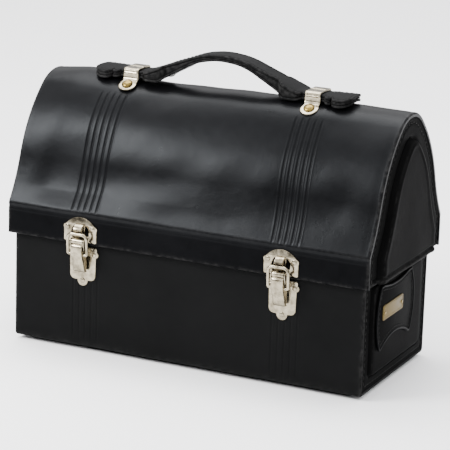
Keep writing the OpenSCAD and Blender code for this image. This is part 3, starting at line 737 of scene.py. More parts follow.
def base_end(side, sign):
    """A moulded box end: a flat stitched border and a raised panel."""
    rise = BASE_END_HI[0] - BASE_X
    low, high = BASE_END_LO[2], BASE_END_HI[2]
    half_w = BASE_END_HI[1]
    panel_low, panel_high = BASE_BOTTOM + PANEL_LOW, SKIRT_Z - 2
    panel_half_w = BASE_Y - PANEL_SIDE
    border = rounded_ring(half_w, low, high, BOTTOM_R - BASE_HIDE, 0.4)
    foot = rounded_ring(panel_half_w, panel_low, panel_high, 4, 4)
    rings = []
    for share in np.linspace(0, 1, 18)[:-1]:
        inset = BASE_HIDE + (PANEL_SIDE - BASE_HIDE) * share
        groove = 0.4 * math.exp(-((inset - BASE_STITCH_IN) / 0.9) ** 2)
        groove += 1.0 * math.exp(-((share - 0.92) / 0.09) ** 2)
        rings.append((border * (1 - share) + foot * share, -0.4 - groove + 0.3 * share))
    for extra, height in [(0, 0.1), (0.15, 0.55), (0.4, 1.1), (0.8, 1.5), (1.4, 1.78), (2.3, 1.93)]:
        rings.append((rounded_ring(panel_half_w - extra, panel_low + extra, panel_high - extra, 4, 4),
                      height * rise / 2 - 0.05))
    last = rings[-1][0]
    middle = last.mean(axis=0)
    for share in np.linspace(0, 0.97, 12)[1:]:
        rings.append((last + (middle - last) * share, 1.93 * rise / 2 - 0.05))
    lines = np.stack([r[0] for r in rings])
    heights = np.stack([np.full(len(border), r[1]) for r in rings])
    y, z = lines[..., 0], lines[..., 1]
    heights = np.minimum(heights + waves(31 + sign, y, z, 40, 0.06) * (heights > 0.2), rise)
    x = sign * (BASE_X + heights)
    level = np.clip(heights / rise, 0, 1)
    # The band on the raised panel's rounded edge is a painted highlight.
    wear_and_highlight = 0.5 * np.exp(-((level - 0.75) / 0.08) ** 2)
    shape = np.stack([x, y, z], axis=-1)
    back = shape[0].copy()
    back[:, 0] = sign * (BASE_X - BASE_HIDE)
    all_rings = np.concatenate([back[None], shape])
    obj = ring_solid(f"base_end_{side}_hide", all_rings, np.concatenate([wear_and_highlight[:1] * 0, wear_and_highlight]))
    return finish_piece(obj, END_LEATHER, "base", "matte_leather", f"base_end_{side}")


def base_end_stitching(side, sign):
    """The line of stitches round the border of a box end."""
    low, high = BASE_END_LO[2], BASE_TOP
    inset = BASE_STITCH_IN - BASE_HIDE
    ring = rounded_ring(BASE_END_HI[1] - inset, low + inset, high + 20, 1.6, 1.0)
    ring = np.roll(ring, len(ring) // 8, axis=0)
    start = int(np.argmax(ring[:, 1]))
    ring = np.roll(ring, -start, axis=0)
    keep = ring[:, 1] < high - 1.5
    line = ring[keep]
    order = np.argsort(np.unwrap(np.arctan2(line[:, 1] - 120, line[:, 0])))
    line = line[order]
    x = np.full(len(line), sign * (BASE_X - 0.62))
    runs = [(np.column_stack([x, line]), (sign, 0, 0))]
    return stitching(f"base_end_{side}_stitching", runs, "base", "matte_leather")


def base_sole():
    """The sole: a flat pad with a rounded edge."""
    half_x, half_y = SOLE_HI[0], SOLE_HI[1]
    low, high = SOLE_LO[2], SOLE_HI[2]
    radius = 0.9
    rings = []
    for inset, z in [(0, high), (0, low + radius), (0.12, low + 0.5), (0.35, low + 0.2), (0.9, low)]:
        ring = rounded_ring(half_y - inset, -half_x + inset, half_x - inset, 4, 4)
        rings.append(np.column_stack([ring[:, 1], ring[:, 0], np.full(len(ring), z)]))
    obj = ring_solid("sole_pad", rings, [0, 0.2, 0.7, 0.9, 0.2])
    return finish_piece(obj, BASE_LEATHER, "base", "matte_leather", "base_sole")


# ---------- shaped sheet, bars and turned parts ----------


def corner_arc(cx, cz, radius, start, end, count=8):
    """Points on an arc, its angles in degrees from +u towards +v."""
    return [(cx + radius * math.cos(a), cz + radius * math.sin(a))
            for a in np.radians(np.linspace(start, end, count))]


def mirrored_loop(right):
    """A closed counter-clockwise loop from its right half, given from bottom to top."""
    return list(right) + [(-u, v) for u, v in reversed(right)]


def left_of(steps):
    """The unit vectors a quarter turn to the left of plane vectors."""
    steps = unit(steps)
    return np.stack([-steps[:, 1], steps[:, 0]], axis=1)


def inset_loop(loop, distance):
    """A closed loop moved to its left by a distance, corner by corner."""
    points = np.asarray(loop, float)
    before, after = points - np.roll(points, 1, axis=0), np.roll(points, -1, axis=0) - points
    left = left_of(before)
    middle = unit(left + left_of(after))
    scale = np.clip((middle * left).sum(axis=1), 0.5, 1)
    return points + middle * (distance / scale)[:, None]


def sheet_part(loops, thickness, bevel, origin, u, v, back_bevel=0.0):
    """A plate with bevelled edges: its outer loop counter-clockwise, its holes clockwise."""
    origin, u, v = (np.asarray(value, float) for value in (origin, u, v))
    out = np.cross(u, v)
    levels = [(0, thickness - bevel), (bevel * 0.3, thickness - bevel * 0.3), (bevel, thickness)]
    levels = ([(back_bevel, 0), (0, back_bevel)] if back_bevel else [(0, 0)]) + levels
    points, faces, front, back, front_index, back_index = [], [], [], [], [], []
    for loop in loops:
        start, count = len(points), len(loop)
        for inset, height in levels:
            points += [origin + u * a + v * b + out * height for a, b in inset_loop(loop, inset)]
        for k in range(len(levels) - 1):
            for i in range(count):
                j = (i + 1) % count
                a = start + k * count
                faces.append([a + i, a + j, a + count + j, a + count + i])
        top = start + (len(levels) - 1) * count
        back.append([Vector((a, b, 0)) for a, b in inset_loop(loop, levels[0][0])])
        front.append([Vector((a, b, 0)) for a, b in inset_loop(loop, levels[-1][0])])
        back_index += range(start, start + count)
        front_index += range(top, top + count)
    faces += [[front_index[i] for i in tri] for tri in tessellate_polygon(front)]
    faces += [[back_index[i] for i in tri] for tri in tessellate_polygon(back)]
    return points, faces


def profile_part(profile, x0, x1, bevel=0.3):
    """A counter-clockwise Y-Z profile run along X, with bevelled ends."""
    return sheet_part([profile], x1 - x0, bevel, (x0, 0, 0), (0, 1, 0), (0, 0, 1), bevel)


def turned_part(profile, base, axis, sides=28):
    """A turned shape: (radius, height) pairs along an axis from a base point."""
    base, axis = np.asarray(base, float), np.asarray(axis, float)
    side = np.cross(axis, (0, 0, 1) if abs(axis[2]) < 0.9 else (1, 0, 0))
    side = unit(side)
    other = np.cross(axis, side)
    turn = np.linspace(0, 2 * math.pi, sides + 1)[:-1]
    around = [side * math.cos(t) + other * math.sin(t) for t in turn]
    points = [base + axis * h + out * r for r, h in profile for out in around]
    return points, closed_tube(len(profile), sides)


def both_ends(start, length):
    """A turned profile whose far end is like its start."""
    return start + [(r, length - h) for r, h in reversed(start)]


def head_profile(head_r, head_h, shank_r, shank, rim=0.18):
    """A rivet's profile: its shank, the flat underside, a thin rim and a dome."""
    dome = [(head_r * math.sin(t), rim + (head_h - rim) * math.cos(t))
            for t in np.linspace(math.pi / 2, 0.04, 9)]
    return [(shank_r, -shank), (shank_r, 0), (head_r * 0.97, 0), (head_r, rim * 0.5)] + dome


def rounded_path(points, radius, count=6):
    """A polyline with its inner corners rounded."""
    points = np.asarray(points, float)
    radii = np.broadcast_to(radius, len(points))
    path = [points[0]]
    for k in range(1, len(points) - 1):
        back, on = points[k - 1] - points[k], points[k + 1] - points[k]
        start = points[k] + unit(back) * radii[k]
        end = points[k] + unit(on) * radii[k]
        for t in np.linspace(0, 1, count):
            path.append((1 - t) ** 2 * start + 2 * t * (1 - t) * points[k] + t * t * end)
    return np.array(path + [points[-1]])


def tube_part(path, radius, sides=14):
    """A round bar along a path in space."""
    path = np.asarray(path, float)
    tangent = unit(np.gradient(path, axis=0))
    side = np.cross(tangent[0], (0.31, 0.52, 0.79))
    rows, turn = [], np.linspace(0, 2 * math.pi, sides + 1)[:-1]
    for point, along, r in zip(path, tangent, np.broadcast_to(radius, len(path))):
        side = unit(side - along * side.dot(along))
        other = np.cross(along, side)
        rows += [point + (side * math.cos(t) + other * math.sin(t)) * r for t in turn]
    return rows, closed_tube(len(path), sides)


def piece(name, parts, material, body, slot, *nodes, sharp=40):
    """Parts joined into one finished piece."""
    return finish_piece(join_parts(name, parts, sharp), material, body, slot, *nodes)


X_AXIS, Y_AXIS, Z_AXIS = np.eye(3)
LID_FRONT = LID_Y - LID_HALF
CATCH_T = 0.8       # thickness of the latch sheets
SHEET_T = 1.0       # thickness of the handle loops and the hinge leaves

# ---------- latches ----------


def joint_place(name):
    """Where a hinge turns, as Y and Z in millimetres."""
    return np.array(RECORD_JOINTS[name]["pos_m"][1:]) / MM


LEVER_AXIS = joint_place("lever_left_hinge")
BAIL_AXIS = joint_place("bail_left_hinge")
LATCH_EAR_Z = SKIRT_Z - 7.2
LATCH_TAB_Z = SKIRT_Z - 25.7
CATCH_EAR_Z = SKIRT_Z + 11.3


def latch_plate(side, x):
    """The lower plate: an eared sheet with a tab and two cheeks that hold the lever's pin."""
    front = -BASE_Y - GAP
    right = corner_arc(0, LATCH_TAB_Z, 3.8, -88, 2, 9)
    right += corner_arc(5.9, LATCH_TAB_Z + 3.8, 3.5, -85, 0, 8)
    right += corner_arc(9.3, LATCH_EAR_Z, 2.2, -80, 60, 9)
    right += [(10.3, SKIRT_Z - 3.4), (9.6, SKIRT_Z - 2.4)]
    parts = [sheet_part([mirrored_loop(right)], CATCH_T, 0.28, (x, front, 0), X_AXIS, Z_AXIS)]
    bar = mirrored_loop([(3.1, LATCH_EAR_Z - 12.2), (2.6, LATCH_EAR_Z - 11.4)])
    parts.append(sheet_part([bar], 0.35, 0.12, (x, front - CATCH_T + 0.05, 0), X_AXIS, Z_AXIS))
    y, z = LEVER_AXIS
    plate = front - 0.2
    lug = [(plate, z - 12), (plate, z - 5.6), (y + 2.0, z - 4.2)]
    lug += corner_arc(y, z, 2.0, 0, 180, 10)
    lug += [(y - 1.9, z - 1.5), (y - 0.9, z - 5.2), (y + 2.2, z - 8.6)]
    for x0, x1 in ((4.5, 5.2), (-5.2, -4.5)):
        parts.append(profile_part(lug, x + x0, x + x1, 0.16))
    return piece(f"latch_plate_{side}_sheet", parts, NICKEL, "base", "nickel", f"latch_plate_{side}")


def catch_plate(side, x):
    """The upper plate: a domed, eared sheet with two punched windows and a nose that holds the bail."""
    front = LID_FRONT - GAP
    base = SKIRT_Z + 1.8
    right = [(11.4, base), (12, base + 0.6), (12, CATCH_EAR_Z - 1.9)]
    right += corner_arc(10.2, CATCH_EAR_Z, 2.2, -30, 78, 7)
    right += corner_arc(0, SKIRT_Z + 5.2, 13.3, 37, 88, 12)
    low = SKIRT_Z + 6.2
    moon = [(3.6, low), (6.0, low), (6.35, low + 0.4)]
    moon += corner_arc(0, SKIRT_Z + 8.2, 6.4, 0, 50, 9) + [(3.6, low + 6.6)]
    holes = [moon[::-1], [(-u, v) for u, v in moon]]
    parts = [sheet_part([mirrored_loop(right)] + holes, CATCH_T, 0.26, (x, front, 0), X_AXIS, Z_AXIS)]
    y = front - CATCH_T
    nose = [(0.3, 14.4), (-1.2, 14.1), (-2.9, 13.3), (-4.2, 12.2), (-4.9, 11.0), (-5.0, 10.3), (-4.6, 9.75),
            (-3.7, 9.35), (-2.9, 8.9), (-2.8, 7.6), (-2.8, 6.5), (-2.1, 5.7), (0.3, 5.2)]
    nose = [(y + a, SKIRT_Z + b) for a, b in nose]
    parts.append(profile_part(nose, x - 3.2, x + 3.2, 0.55))
    return piece(f"catch_plate_{side}_sheet", parts, NICKEL, "lid", "nickel", f"catch_plate_{side}")


def lever(side, x):
    """The lever: a rolled barrel on the pin and a channel with a bowed face and a turned-up lip."""
    y, z = LEVER_AXIS
    barrel = both_ends([(0.93, 0), (1.8, 0), (2.05, 0.22), (2.1, 0.6)], 8.4)
    parts = [turned_part(barrel, (x - 4.2, y, z), X_AXIS)]
    corners = [(-1.3, -1.6), (-2.5, -2.7), (-2.75, -5), (-2.6, -8.6), (0, -15.4), (1.7, -20.0),
               (2.6, -21.3), (4.6, -21.45)]
    face = rounded_path(corners, [0, 0.8, 1, 2, 1.5, 0.9, 0.7, 0], 5)
    inwards = left_of(np.gradient(face, axis=0))
    inwards *= np.sign(inwards[:, :1])
    reach = np.interp(-face[:, 1], [1.6, 3, 6, 20.2, 21.3], [0.9, 5.2, 7.4, 3.4, 1.0])
    cross = [(-4.2, 1.0), (-4.2, 0.66), (-4.2, 0.32), (-4.15, 0.12), (-4.02, 0.045), (-3.75, 0.0)]
    cross += [(-3.0, -0.06), (-1.8, -0.16), (0, -0.22)]
    cross += [(-a, b) for a, b in cross[-2::-1]]
    outer, inner = [], []
    for point, normal, depth in zip(face, inwards, reach):
        for grid, shrink in ((outer, 0.0), (inner, 0.75)):
            row = []
            for a, b in cross:
                deep = b * depth if abs(a) > 3.7 else b
                deep = max(deep, shrink + min(deep, 0)) if shrink else deep
                width = max(-4.2 + shrink, min(4.2 - shrink, a))
                spot = point + normal * min(deep, max(depth, shrink + 0.1))
                row.append((x + width, y + spot[0], z + spot[1]))
            grid.append(row)
    parts.append(slab_part(np.array(outer), np.array(inner)))
    return piece(f"lever_{side}_sheet", parts, NICKEL, f"lever_{side}", "nickel", f"lever_{side}", sharp=50)


def bail(side, x):
    """The wire bail: two legs, a crossbar, and ends bent in to turn in the lever."""
    lean = math.radians(5)
    line = [(-3.5, 0), (-7, 0), (-7, 14), (7, 14), (7, 0), (3.5, 0)]
    path = rounded_path(line, [0, 1.1, 4.0, 4.0, 1.1, 0], 9)
    y, z = BAIL_AXIS
    path = [(x + a, y - math.sin(lean) * b, z + math.cos(lean) * b) for a, b in path]
    radius = np.array([0.9] + [1.1] * (len(path) - 2) + [0.9])
    parts = [tube_part(path, radius, 16)]
    return piece(f"bail_{side}_wire", parts, NICKEL, f"bail_{side}", "nickel", f"bail_{side}")


def lever_pin(side, x):
    """The lever's pin, with its ends rounded over."""
    y, z = LEVER_AXIS
    pin = both_ends([(0.3, -0.02), (0.62, 0.03), (0.86, 0.2), (0.9, 0.5)], 10.4)
    parts = [turned_part(pin, (x - 5.2, y, z), X_AXIS, 20)]
    return piece(f"lever_pin_{side}_bar", parts, NICKEL, "base", "nickel", f"lever_pin_{side}")


def small_rivets(name, node, spots, y, out, head, shank, body):
    """A row of nickel rivets with their heads on one face."""
    parts = [turned_part(head_profile(*head, 1.0, shank), (x, y, z), out, 24) for x, z in spots]
    return piece(name, parts, NICKEL, body, "nickel", node)


# ---------- handle loops ----------

LOOP_W = 11.0
LOOP_HALF = 9.2
LOOP_TOP = node_box("handle_loop_left")[1][2]
TAB_R = 6.2
LOOP_A = math.asin(13.5 / CROWN_R)


def handle_loop(side, x):
    """A sheet strip that bends over the strap, with two pressed ribs at each bend and round tabs."""
    out = turned(LOOP_A)
    slope = np.array([math.cos(LOOP_A), -math.sin(LOOP_A)])
    seat = CROWN_C + (CROWN_R + GAP + SHEET_T) * out
    knee = seat - slope * (seat[0] - LOOP_HALF) / math.cos(LOOP_A)
    half = rounded_path([(0, LOOP_TOP), (LOOP_HALF, LOOP_TOP), knee, seat + slope * (TAB_R - 0.02)],
                        [0, 2.6, 1.8, 0], 10)
    fine = []
    for a, b in zip(half[:-1], half[1:]):
        count = max(1, int(np.linalg.norm(b - a) / 0.35))
        fine += [a + (b - a) * t for t in np.arange(count) / count]
    half = np.array(fine + [half[-1]])
    path = np.concatenate([half[:0:-1] * MIRROR, half])
    normal = left_of(np.gradient(path, axis=0))
    beyond = (np.abs(path[:, 0]) - seat[0]) / math.cos(LOOP_A)
    tab = np.sqrt(np.clip(TAB_R ** 2 - beyond ** 2, 0.05, None))
    width = np.where(beyond > 0, tab, np.maximum(LOOP_W / 2, np.where(beyond > -TAB_R, tab, 0)))
    run = run_length(path)
    middle = run[len(run) // 2]
    left = slice(len(path) // 2, None, -1)
    knee_run = np.interp(-knee[0], -path[left, 0], run[left])
    away = np.abs(run - middle)
    knee_away = abs(knee_run - middle)
    rib = np.zeros(len(path))
    for place in (LOOP_HALF + 0.4, LOOP_HALF + 2.0, knee_away + 0.6):
        rib = np.maximum(rib, 0.38 * np.exp(-((away - place) / 0.42) ** 2))
    share = np.array([0, 0.2, 0.45, 0.7, 0.86, 0.94, 0.985, 1])
    share = np.concatenate([-share[:0:-1], share])
    drop = np.interp(np.abs(share), [0, 0.86, 0.94, 0.985, 1], [0, 0.0, 0.06, 0.2, 0.42])
    across = share[None, :] * width[:, None]
    lift = rib[:, None] * np.clip((1 - np.abs(share)) / 0.12, 0, 1) - drop[None, :]
    yz = path[:, None, :] + normal[:, None, :] * lift[..., None]
    under = np.broadcast_to((path - normal * SHEET_T)[:, None, :], yz.shape)
    outer = np.stack([x + across, LID_Y + yz[..., 0], yz[..., 1]], axis=-1)
    inner = np.stack([x + across, LID_Y + under[..., 0], under[..., 1]], axis=-1)
    parts = [slab_part(outer, inner)]
    return piece(f"handle_loop_{side}_strip", parts, NICKEL, "lid", "nickel", f"handle_loop_{side}", sharp=50)


def loop_rivets():
    """Large domed brass rivets, seated on the loops' round tabs."""
    parts = []
    for x in LOOP_XS:
        for s in (-1, 1):
            out = np.array([0, s * math.sin(LOOP_A), math.cos(LOOP_A)])
            seat = np.array([x, LID_Y, CROWN_C[1]]) + out * (CROWN_R + GAP + SHEET_T)
            dome = head_profile(3.7, 1.95, 1.5, 5.2, 0.35)
            parts.append(turned_part(dome, seat, out, 40))
    return piece("handle_loop_rivet_heads", parts, BRASS, "lid", "brass", "handle_loop_rivets")


# ---------- handle strap ----------

STRAP_X = (STRAP_LO[0] + STRAP_HI[0]) / 2
STRAP_HALF = (STRAP_HI[0] - STRAP_LO[0]) / 2
STRAP_TOP = STRAP_HI[2]
STRAP_T = 4.4
LAYER_T = 1.6
FLAT_TOP = LOOP_TOP - 1.2
FLAT_LOW = FLAT_TOP - STRAP_T
UPPER_ARCH = (FLAT_TOP, STRAP_TOP - FLAT_TOP, 62.0, 20.0, math.radians(20.5), -1)
LOWER_ARCH = (FLAT_LOW, STRAP_TOP - STRAP_T - FLAT_LOW, 52.0, 10.0, math.radians(29.5), 1)


def arch(x, shape, inset=0.0):
    """Height of a strap face, at x from the middle: crown arc, straight flank, foot arc, flat."""
    flat, rise, crown, foot, angle, sense = shape
    climb = rise - (crown + foot) * (1 - math.cos(angle))
    half = (crown + foot) * math.sin(angle) + climb / math.tan(angle)
    flat, crown, foot = flat + sense * inset, crown + sense * inset, foot - sense * inset
    x = np.abs(x)
    top = flat + rise - crown + np.sqrt(np.clip(crown ** 2 - x ** 2, 0, None))
    x1, x2 = crown * math.sin(angle), half - foot * math.sin(angle)
    flank = flat + rise - crown * (1 - math.cos(angle)) - (x - x1) * math.tan(angle)
    base = flat + foot - np.sqrt(np.clip(foot ** 2 - (half - x) ** 2, 0, None))
    return np.select([x <= x1, x <= x2, x <= half], [top, flank, base], flat)


def strap_outline():
    """The strap's half width by the distance from the middle, as points; its ends are round."""
    neck0, neck1 = 58.0, 74.0

    def bend(cx, cy, r, a0, a1):
        return [(cx + r * math.sin(a), cy + r * math.cos(a)) for a in np.radians(np.linspace(a0, a1, 12))]

    points = [(0, 7.9), (12, 7.8), (30, 8.0), (41.2, 8.0)]
    points += bend(46, 6.5, 5, -72, 0) + bend(53, 6.5, 5, 0, 74) + [(neck0, 7.8), (neck1, 7.8)]
    points += bend(77.4, 7.6, 3.4, -80, 25) + [(79.3, 9.2)] + bend(85, 5.5, 8, -30, 88)
    return np.array(points)


TOP_HANG = 1.3      # how far the edges of the broad ends hang down, on the strap's top
LOW_HANG = 2.2      # and on its underside, which follows the crown of the lid


def strap_drape(away, y, hang=TOP_HANG):
    """How the strap's broad ends hang over the crown, and how their tips curl up."""
    broad = np.clip((away - 36) / 12, 0, 1)
    sag = -hang * np.clip(np.abs(y) / 12.5, 0, 1.1) ** 2 * broad * broad * (3 - 2 * broad)
    return sag + 0.2 * np.clip((away - 80) / 13, 0, 1) ** 2


def strap_layer(name, node, upper, lower, less, hangs):
    """One leather layer of the strap between two faces, with rounded edges and a pressed seam line."""
    outline = strap_outline()
    scale = (STRAP_HALF - less) / STRAP_HALF
    end = outline[-1, 0]
    from_edge = np.array([0, 0.1, 0.3, 0.65, 1.1, 1.6, 2.0, 2.4, 2.9])
    marks = np.concatenate([outline[:, 0], spread(0, end - 3.2, 0.8), end - from_edge])
    marks = np.unique(np.round(marks, 3))
    width = np.interp(marks, outline[:, 0], outline[:, 1]) - less
    xs = np.concatenate([-marks[:0:-1], marks]) * scale
    width = np.concatenate([width[:0:-1], width])
    middle = np.linspace(1, -1, 9)[1:-1]
    inner_w = np.maximum(width - from_edge[-1], 0.05)
    shrink = np.minimum(1, width / 3.2)
    left = width[:, None] - from_edge[None, :] * shrink[:, None]
    y = np.concatenate([left, inner_w[:, None] * middle[None, :], -left[:, ::-1]], axis=1)
    x = np.broadcast_to(xs[:, None], y.shape)
    distance = np.minimum(width[:, None] - np.abs(y), xs[-1] - np.abs(x))
    seam = np.exp(-((distance - 2.0) / 0.42) ** 2)
    away = np.abs(x)
    uneven = waves(51, x, y, 22, 0.10) + waves(52, x, y, 8, 0.03)
    drop = edge_drop(distance, 0.62)
    high = arch(x, *upper) + strap_drape(away, y, hangs[0]) + uneven - drop - 0.26 * seam
    low = arch(x, *lower) + strap_drape(away, y, hangs[1]) + uneven + drop * 0.8
    high = np.maximum(high, low + 0.08)
    outer = np.stack([x + STRAP_X, y + LID_Y, high], axis=-1)
    inner = np.stack([x + STRAP_X, y + LID_Y, low], axis=-1)
    wear_and_highlight = np.exp(-(distance / 0.7) ** 2) + 0.25 * (away < 30) * np.exp(-(y / 6) ** 4)
    obj = plate_solid(name, outer, inner, np.clip(wear_and_highlight, 0, 1), 50)
    return finish_piece(obj, STRAP_LEATHER, "handle", "matte_leather", node)


def strap_seams():
    """The two lines of stitches along the top of the strap, and those round its paddle ends."""
    outline = strap_outline()
    runs = []
    for sign in (-1, 1):
        for low, high in ((-56.5, 56.5), (-92, -75.5), (75.5, 92)):
            x = spread(low, high, 0.5)
            width = np.interp(np.abs(x), outline[:, 0], outline[:, 1]) - 2.0
            keep = width > 0.4
            x, width = x[keep], width[keep]
            z = arch(x, UPPER_ARCH) + strap_drape(np.abs(x), width) - 0.22
            slope = np.gradient(z, x)
            out = unit(np.stack([-slope, np.zeros(len(x)), np.ones(len(x))], axis=1))
            line = np.stack([x + STRAP_X, LID_Y + sign * width, z], axis=1)
            runs.append((line, out))
    return stitching("handle_seams", runs, "handle", "matte_leather", 3.0, 2.3, 0.65, 0.3)


# ---------- name patch ----------


def patch_loop(inset=0.0):
    """The patch's outline: round sides, hollow head and foot."""
    width, height = PATCH_HI[1] - PATCH_LO[1], PATCH_HI[2] - PATCH_LO[2]
    side, foot, foot_in, head, head_in = 42.0, 48.0, 6.5, 90.0, 2.5
    centre = width / 2 - side
    low = -height / 2
    high = height / 2

    def side_u(v):
        return centre + math.sqrt(side ** 2 - v ** 2)

    u_low, u_high = side_u(low), side_u(high)
    foot_c = foot_in + low - foot
    head_c = high + head - head_in
    foot_u = math.sqrt(foot ** 2 - (low - foot_c) ** 2)
    head_u = math.sqrt(head ** 2 - (high - head_c) ** 2)
    right = [(u, foot_c + math.sqrt(foot ** 2 - u * u)) for u in np.linspace(0.4, foot_u, 14)]
    if u_low > foot_u + 0.3:
        right.append((u_low, low))
    right += [(side_u(v), v) for v in np.linspace(low, high, 24)[1:-1]]
    right.append((u_high, high))
    head_us = np.linspace(min(head_u, u_high - 0.5), 0.4, 14)
    right += [(u, head_c - math.sqrt(head ** 2 - u * u)) for u in head_us]
    loop = mirrored_loop(right)
    return inset_loop(loop, inset) if inset else np.array(loop)


PATCH_C = (PATCH_LO + PATCH_HI) / 2
PLAQUE_C = (PLAQUE_LO + PLAQUE_HI) / 2
PIN_OUT = 14.5      # from the middle of the plate to each pin


def patch_line(inset, depth, overlap):
    """The patch's outline in space, inset and below its face, with its first points again at the end."""
    line = patch_loop(inset)
    line = np.concatenate([line, line[:overlap]])
    return np.column_stack([np.full(len(line), PATCH_HI[0] - depth), line + PATCH_C[1:]])


def name_patch():
    """The leather patch on the right end, with a bevelled edge, and its sewn line."""
    base = PATCH_LO[0]
    origin = (base, PATCH_C[1], PATCH_C[2])
    parts = [sheet_part([patch_loop()], PATCH_HI[0] - base - 0.05, 0.45, origin, Y_AXIS, Z_AXIS)]
    piece("name_patch_leather", parts, END_LEATHER, "base", "matte_leather", "label_patch")
    piping = [tube_part(patch_line(0.1, 0.45, 2), 0.85, 12)]
    piece("name_patch_piping", piping, PIPING_LEATHER, "base", "matte_leather")
    runs = [(patch_line(2.6, 0.12, 1), (1, 0, 0))]
    return stitching("name_patch_stitching", runs, "base", "matte_leather", 3.2, 2.4, 0.6, 0.25)


def plaque():
    """A plain brass plate with a raised rim line, held by two pins."""
    width, height = PLAQUE_HI[1] - PLAQUE_LO[1], PLAQUE_HI[2] - PLAQUE_LO[2]
    corner = 1.4
    u, v = width / 2 - corner, height / 2 - corner
    right = corner_arc(u, -v, corner, -90, 0, 6) + corner_arc(u, v, corner, 0, 90, 6)
    loop = mirrored_loop(right)
    thick = PLAQUE_HI[0] - PLAQUE_LO[0]
    origin = np.array([PLAQUE_LO[0], PLAQUE_C[1], PLAQUE_C[2]])
    parts = [sheet_part([loop], thick, 0.3, origin, Y_AXIS, Z_AXIS)]
    ring = inset_loop(loop, 0.9)
    inner = inset_loop(loop, 1.25)[::-1]
    parts.append(sheet_part([ring, inner], 0.16, 0.07, origin + [thick - 0.04, 0, 0], Y_AXIS, Z_AXIS))
    piece("name_plaque_plate", parts, PLAQUE_BRASS, "base", "brass", "label_plate")
    pins = []
    for s in (-1, 1):
        seat = (PLAQUE_HI[0], PLAQUE_C[1] + s * PIN_OUT, PLAQUE_C[2])
        pins.append(turned_part(head_profile(1.1, 0.5, 0.6, 3.4, 0.12), seat, X_AXIS, 24))
    return piece("name_plaque_pins", pins, BRASS, "base", "brass", "label_pins")


# ---------- hinges at the back ----------

HINGE_Y, HINGE_Z = joint_place("lid_hinge")
LEAF_HALF = 15.0
KNUCKLE_R = 2.4
HINGE_XS = [sum(b[0] for b in node_box(f"hinge_pin_{side}")) / 2 for side in ("left", "right")]


def knuckle_part(x0, x1):
    """A knuckle with rounded rims and a bore for the pin."""
    rim = 0.35
    ring = [(1.15, 0), (KNUCKLE_R - rim, 0), (KNUCKLE_R - 0.1, rim * 0.4), (KNUCKLE_R, rim)]
    return turned_part(both_ends(ring, x1 - x0), (x0, HINGE_Y, HINGE_Z), X_AXIS, 30)


def web_part(x0, x1, y0, y1):
    """A strip of sheet from a leaf to the top of a knuckle."""
    top = HINGE_Z + KNUCKLE_R
    low = top - SHEET_T
    profile = [(y0, low), (y1, low), (y1, top - 0.1), (y1 - 0.3, top), (y0 + 0.3, top), (y0, top - 0.3)]
    return profile_part(profile, x0, x1, 0.12)


def base_leaf(side, x):
    """The leaf on the box, with the two outer knuckles."""
    back = BASE_Y + GAP
    top, low = HINGE_Z + KNUCKLE_R, HINGE_Z - 20
    right = [(LEAF_HALF - 3, low)] + corner_arc(LEAF_HALF - 3, low + 3, 3, -75, 0, 6)
    right += [(LEAF_HALF, top - 0.4), (LEAF_HALF - 0.4, top)]
    parts = [sheet_part([mirrored_loop(right)], SHEET_T, 0.3, (x, back, 0), -X_AXIS, Z_AXIS)]
    third = LEAF_HALF / 3
    for x0, x1 in ((-LEAF_HALF, -third), (third, LEAF_HALF)):
        parts += [knuckle_part(x + x0, x + x1), web_part(x + x0, x + x1, back + 0.4, HINGE_Y)]
    return piece(f"hinge_base_leaf_{side}_sheet", parts, NICKEL, "base", "nickel", f"hinge_base_leaf_{side}")


def lid_leaf(side, x):
    """The leaf inside the lid, with the middle knuckle and the web between them."""
    lid_back = LID_Y + LID_HALF - LID_HIDE - GAP
    low = HINGE_Z + 4
    right = corner_arc(LEAF_HALF - 1.5, low + 1.5, 1.5, -88, 0, 5)
    right += corner_arc(LEAF_HALF - 1.5, low + 3.5, 1.5, 0, 88, 5)
    parts = [sheet_part([mirrored_loop(right)], SHEET_T, 0.2, (x, lid_back - SHEET_T, 0), -X_AXIS, Z_AXIS)]
    inner = LEAF_HALF / 3 - 0.15
    parts += [knuckle_part(x - inner, x + inner), web_part(x - inner, x + inner, HINGE_Y, lid_back)]
    low, high = HINGE_Z + KNUCKLE_R - SHEET_T, HINGE_Z + KNUCKLE_R + 3
    stem = [(lid_back - SHEET_T, low), (lid_back, low), (lid_back, high), (lid_back - SHEET_T, high)]
    parts.append(profile_part(stem, x - inner, x + inner, 0.1))
    return piece(f"hinge_lid_leaf_{side}_sheet", parts, NICKEL, "lid", "nickel", f"hinge_lid_leaf_{side}")


def hinge_pin(side, x):
    """The pin through the knuckles, with its ends rounded over."""
    pin = both_ends([(0.4, 0), (0.85, 0.05), (1.08, 0.3), (1.1, 0.7)], 2 * LEAF_HALF)
    parts = [turned_part(pin, (x - LEAF_HALF, HINGE_Y, HINGE_Z), X_AXIS, 24)]
    return piece(f"hinge_pin_{side}_bar", parts, NICKEL, "base", "nickel", f"hinge_pin_{side}")


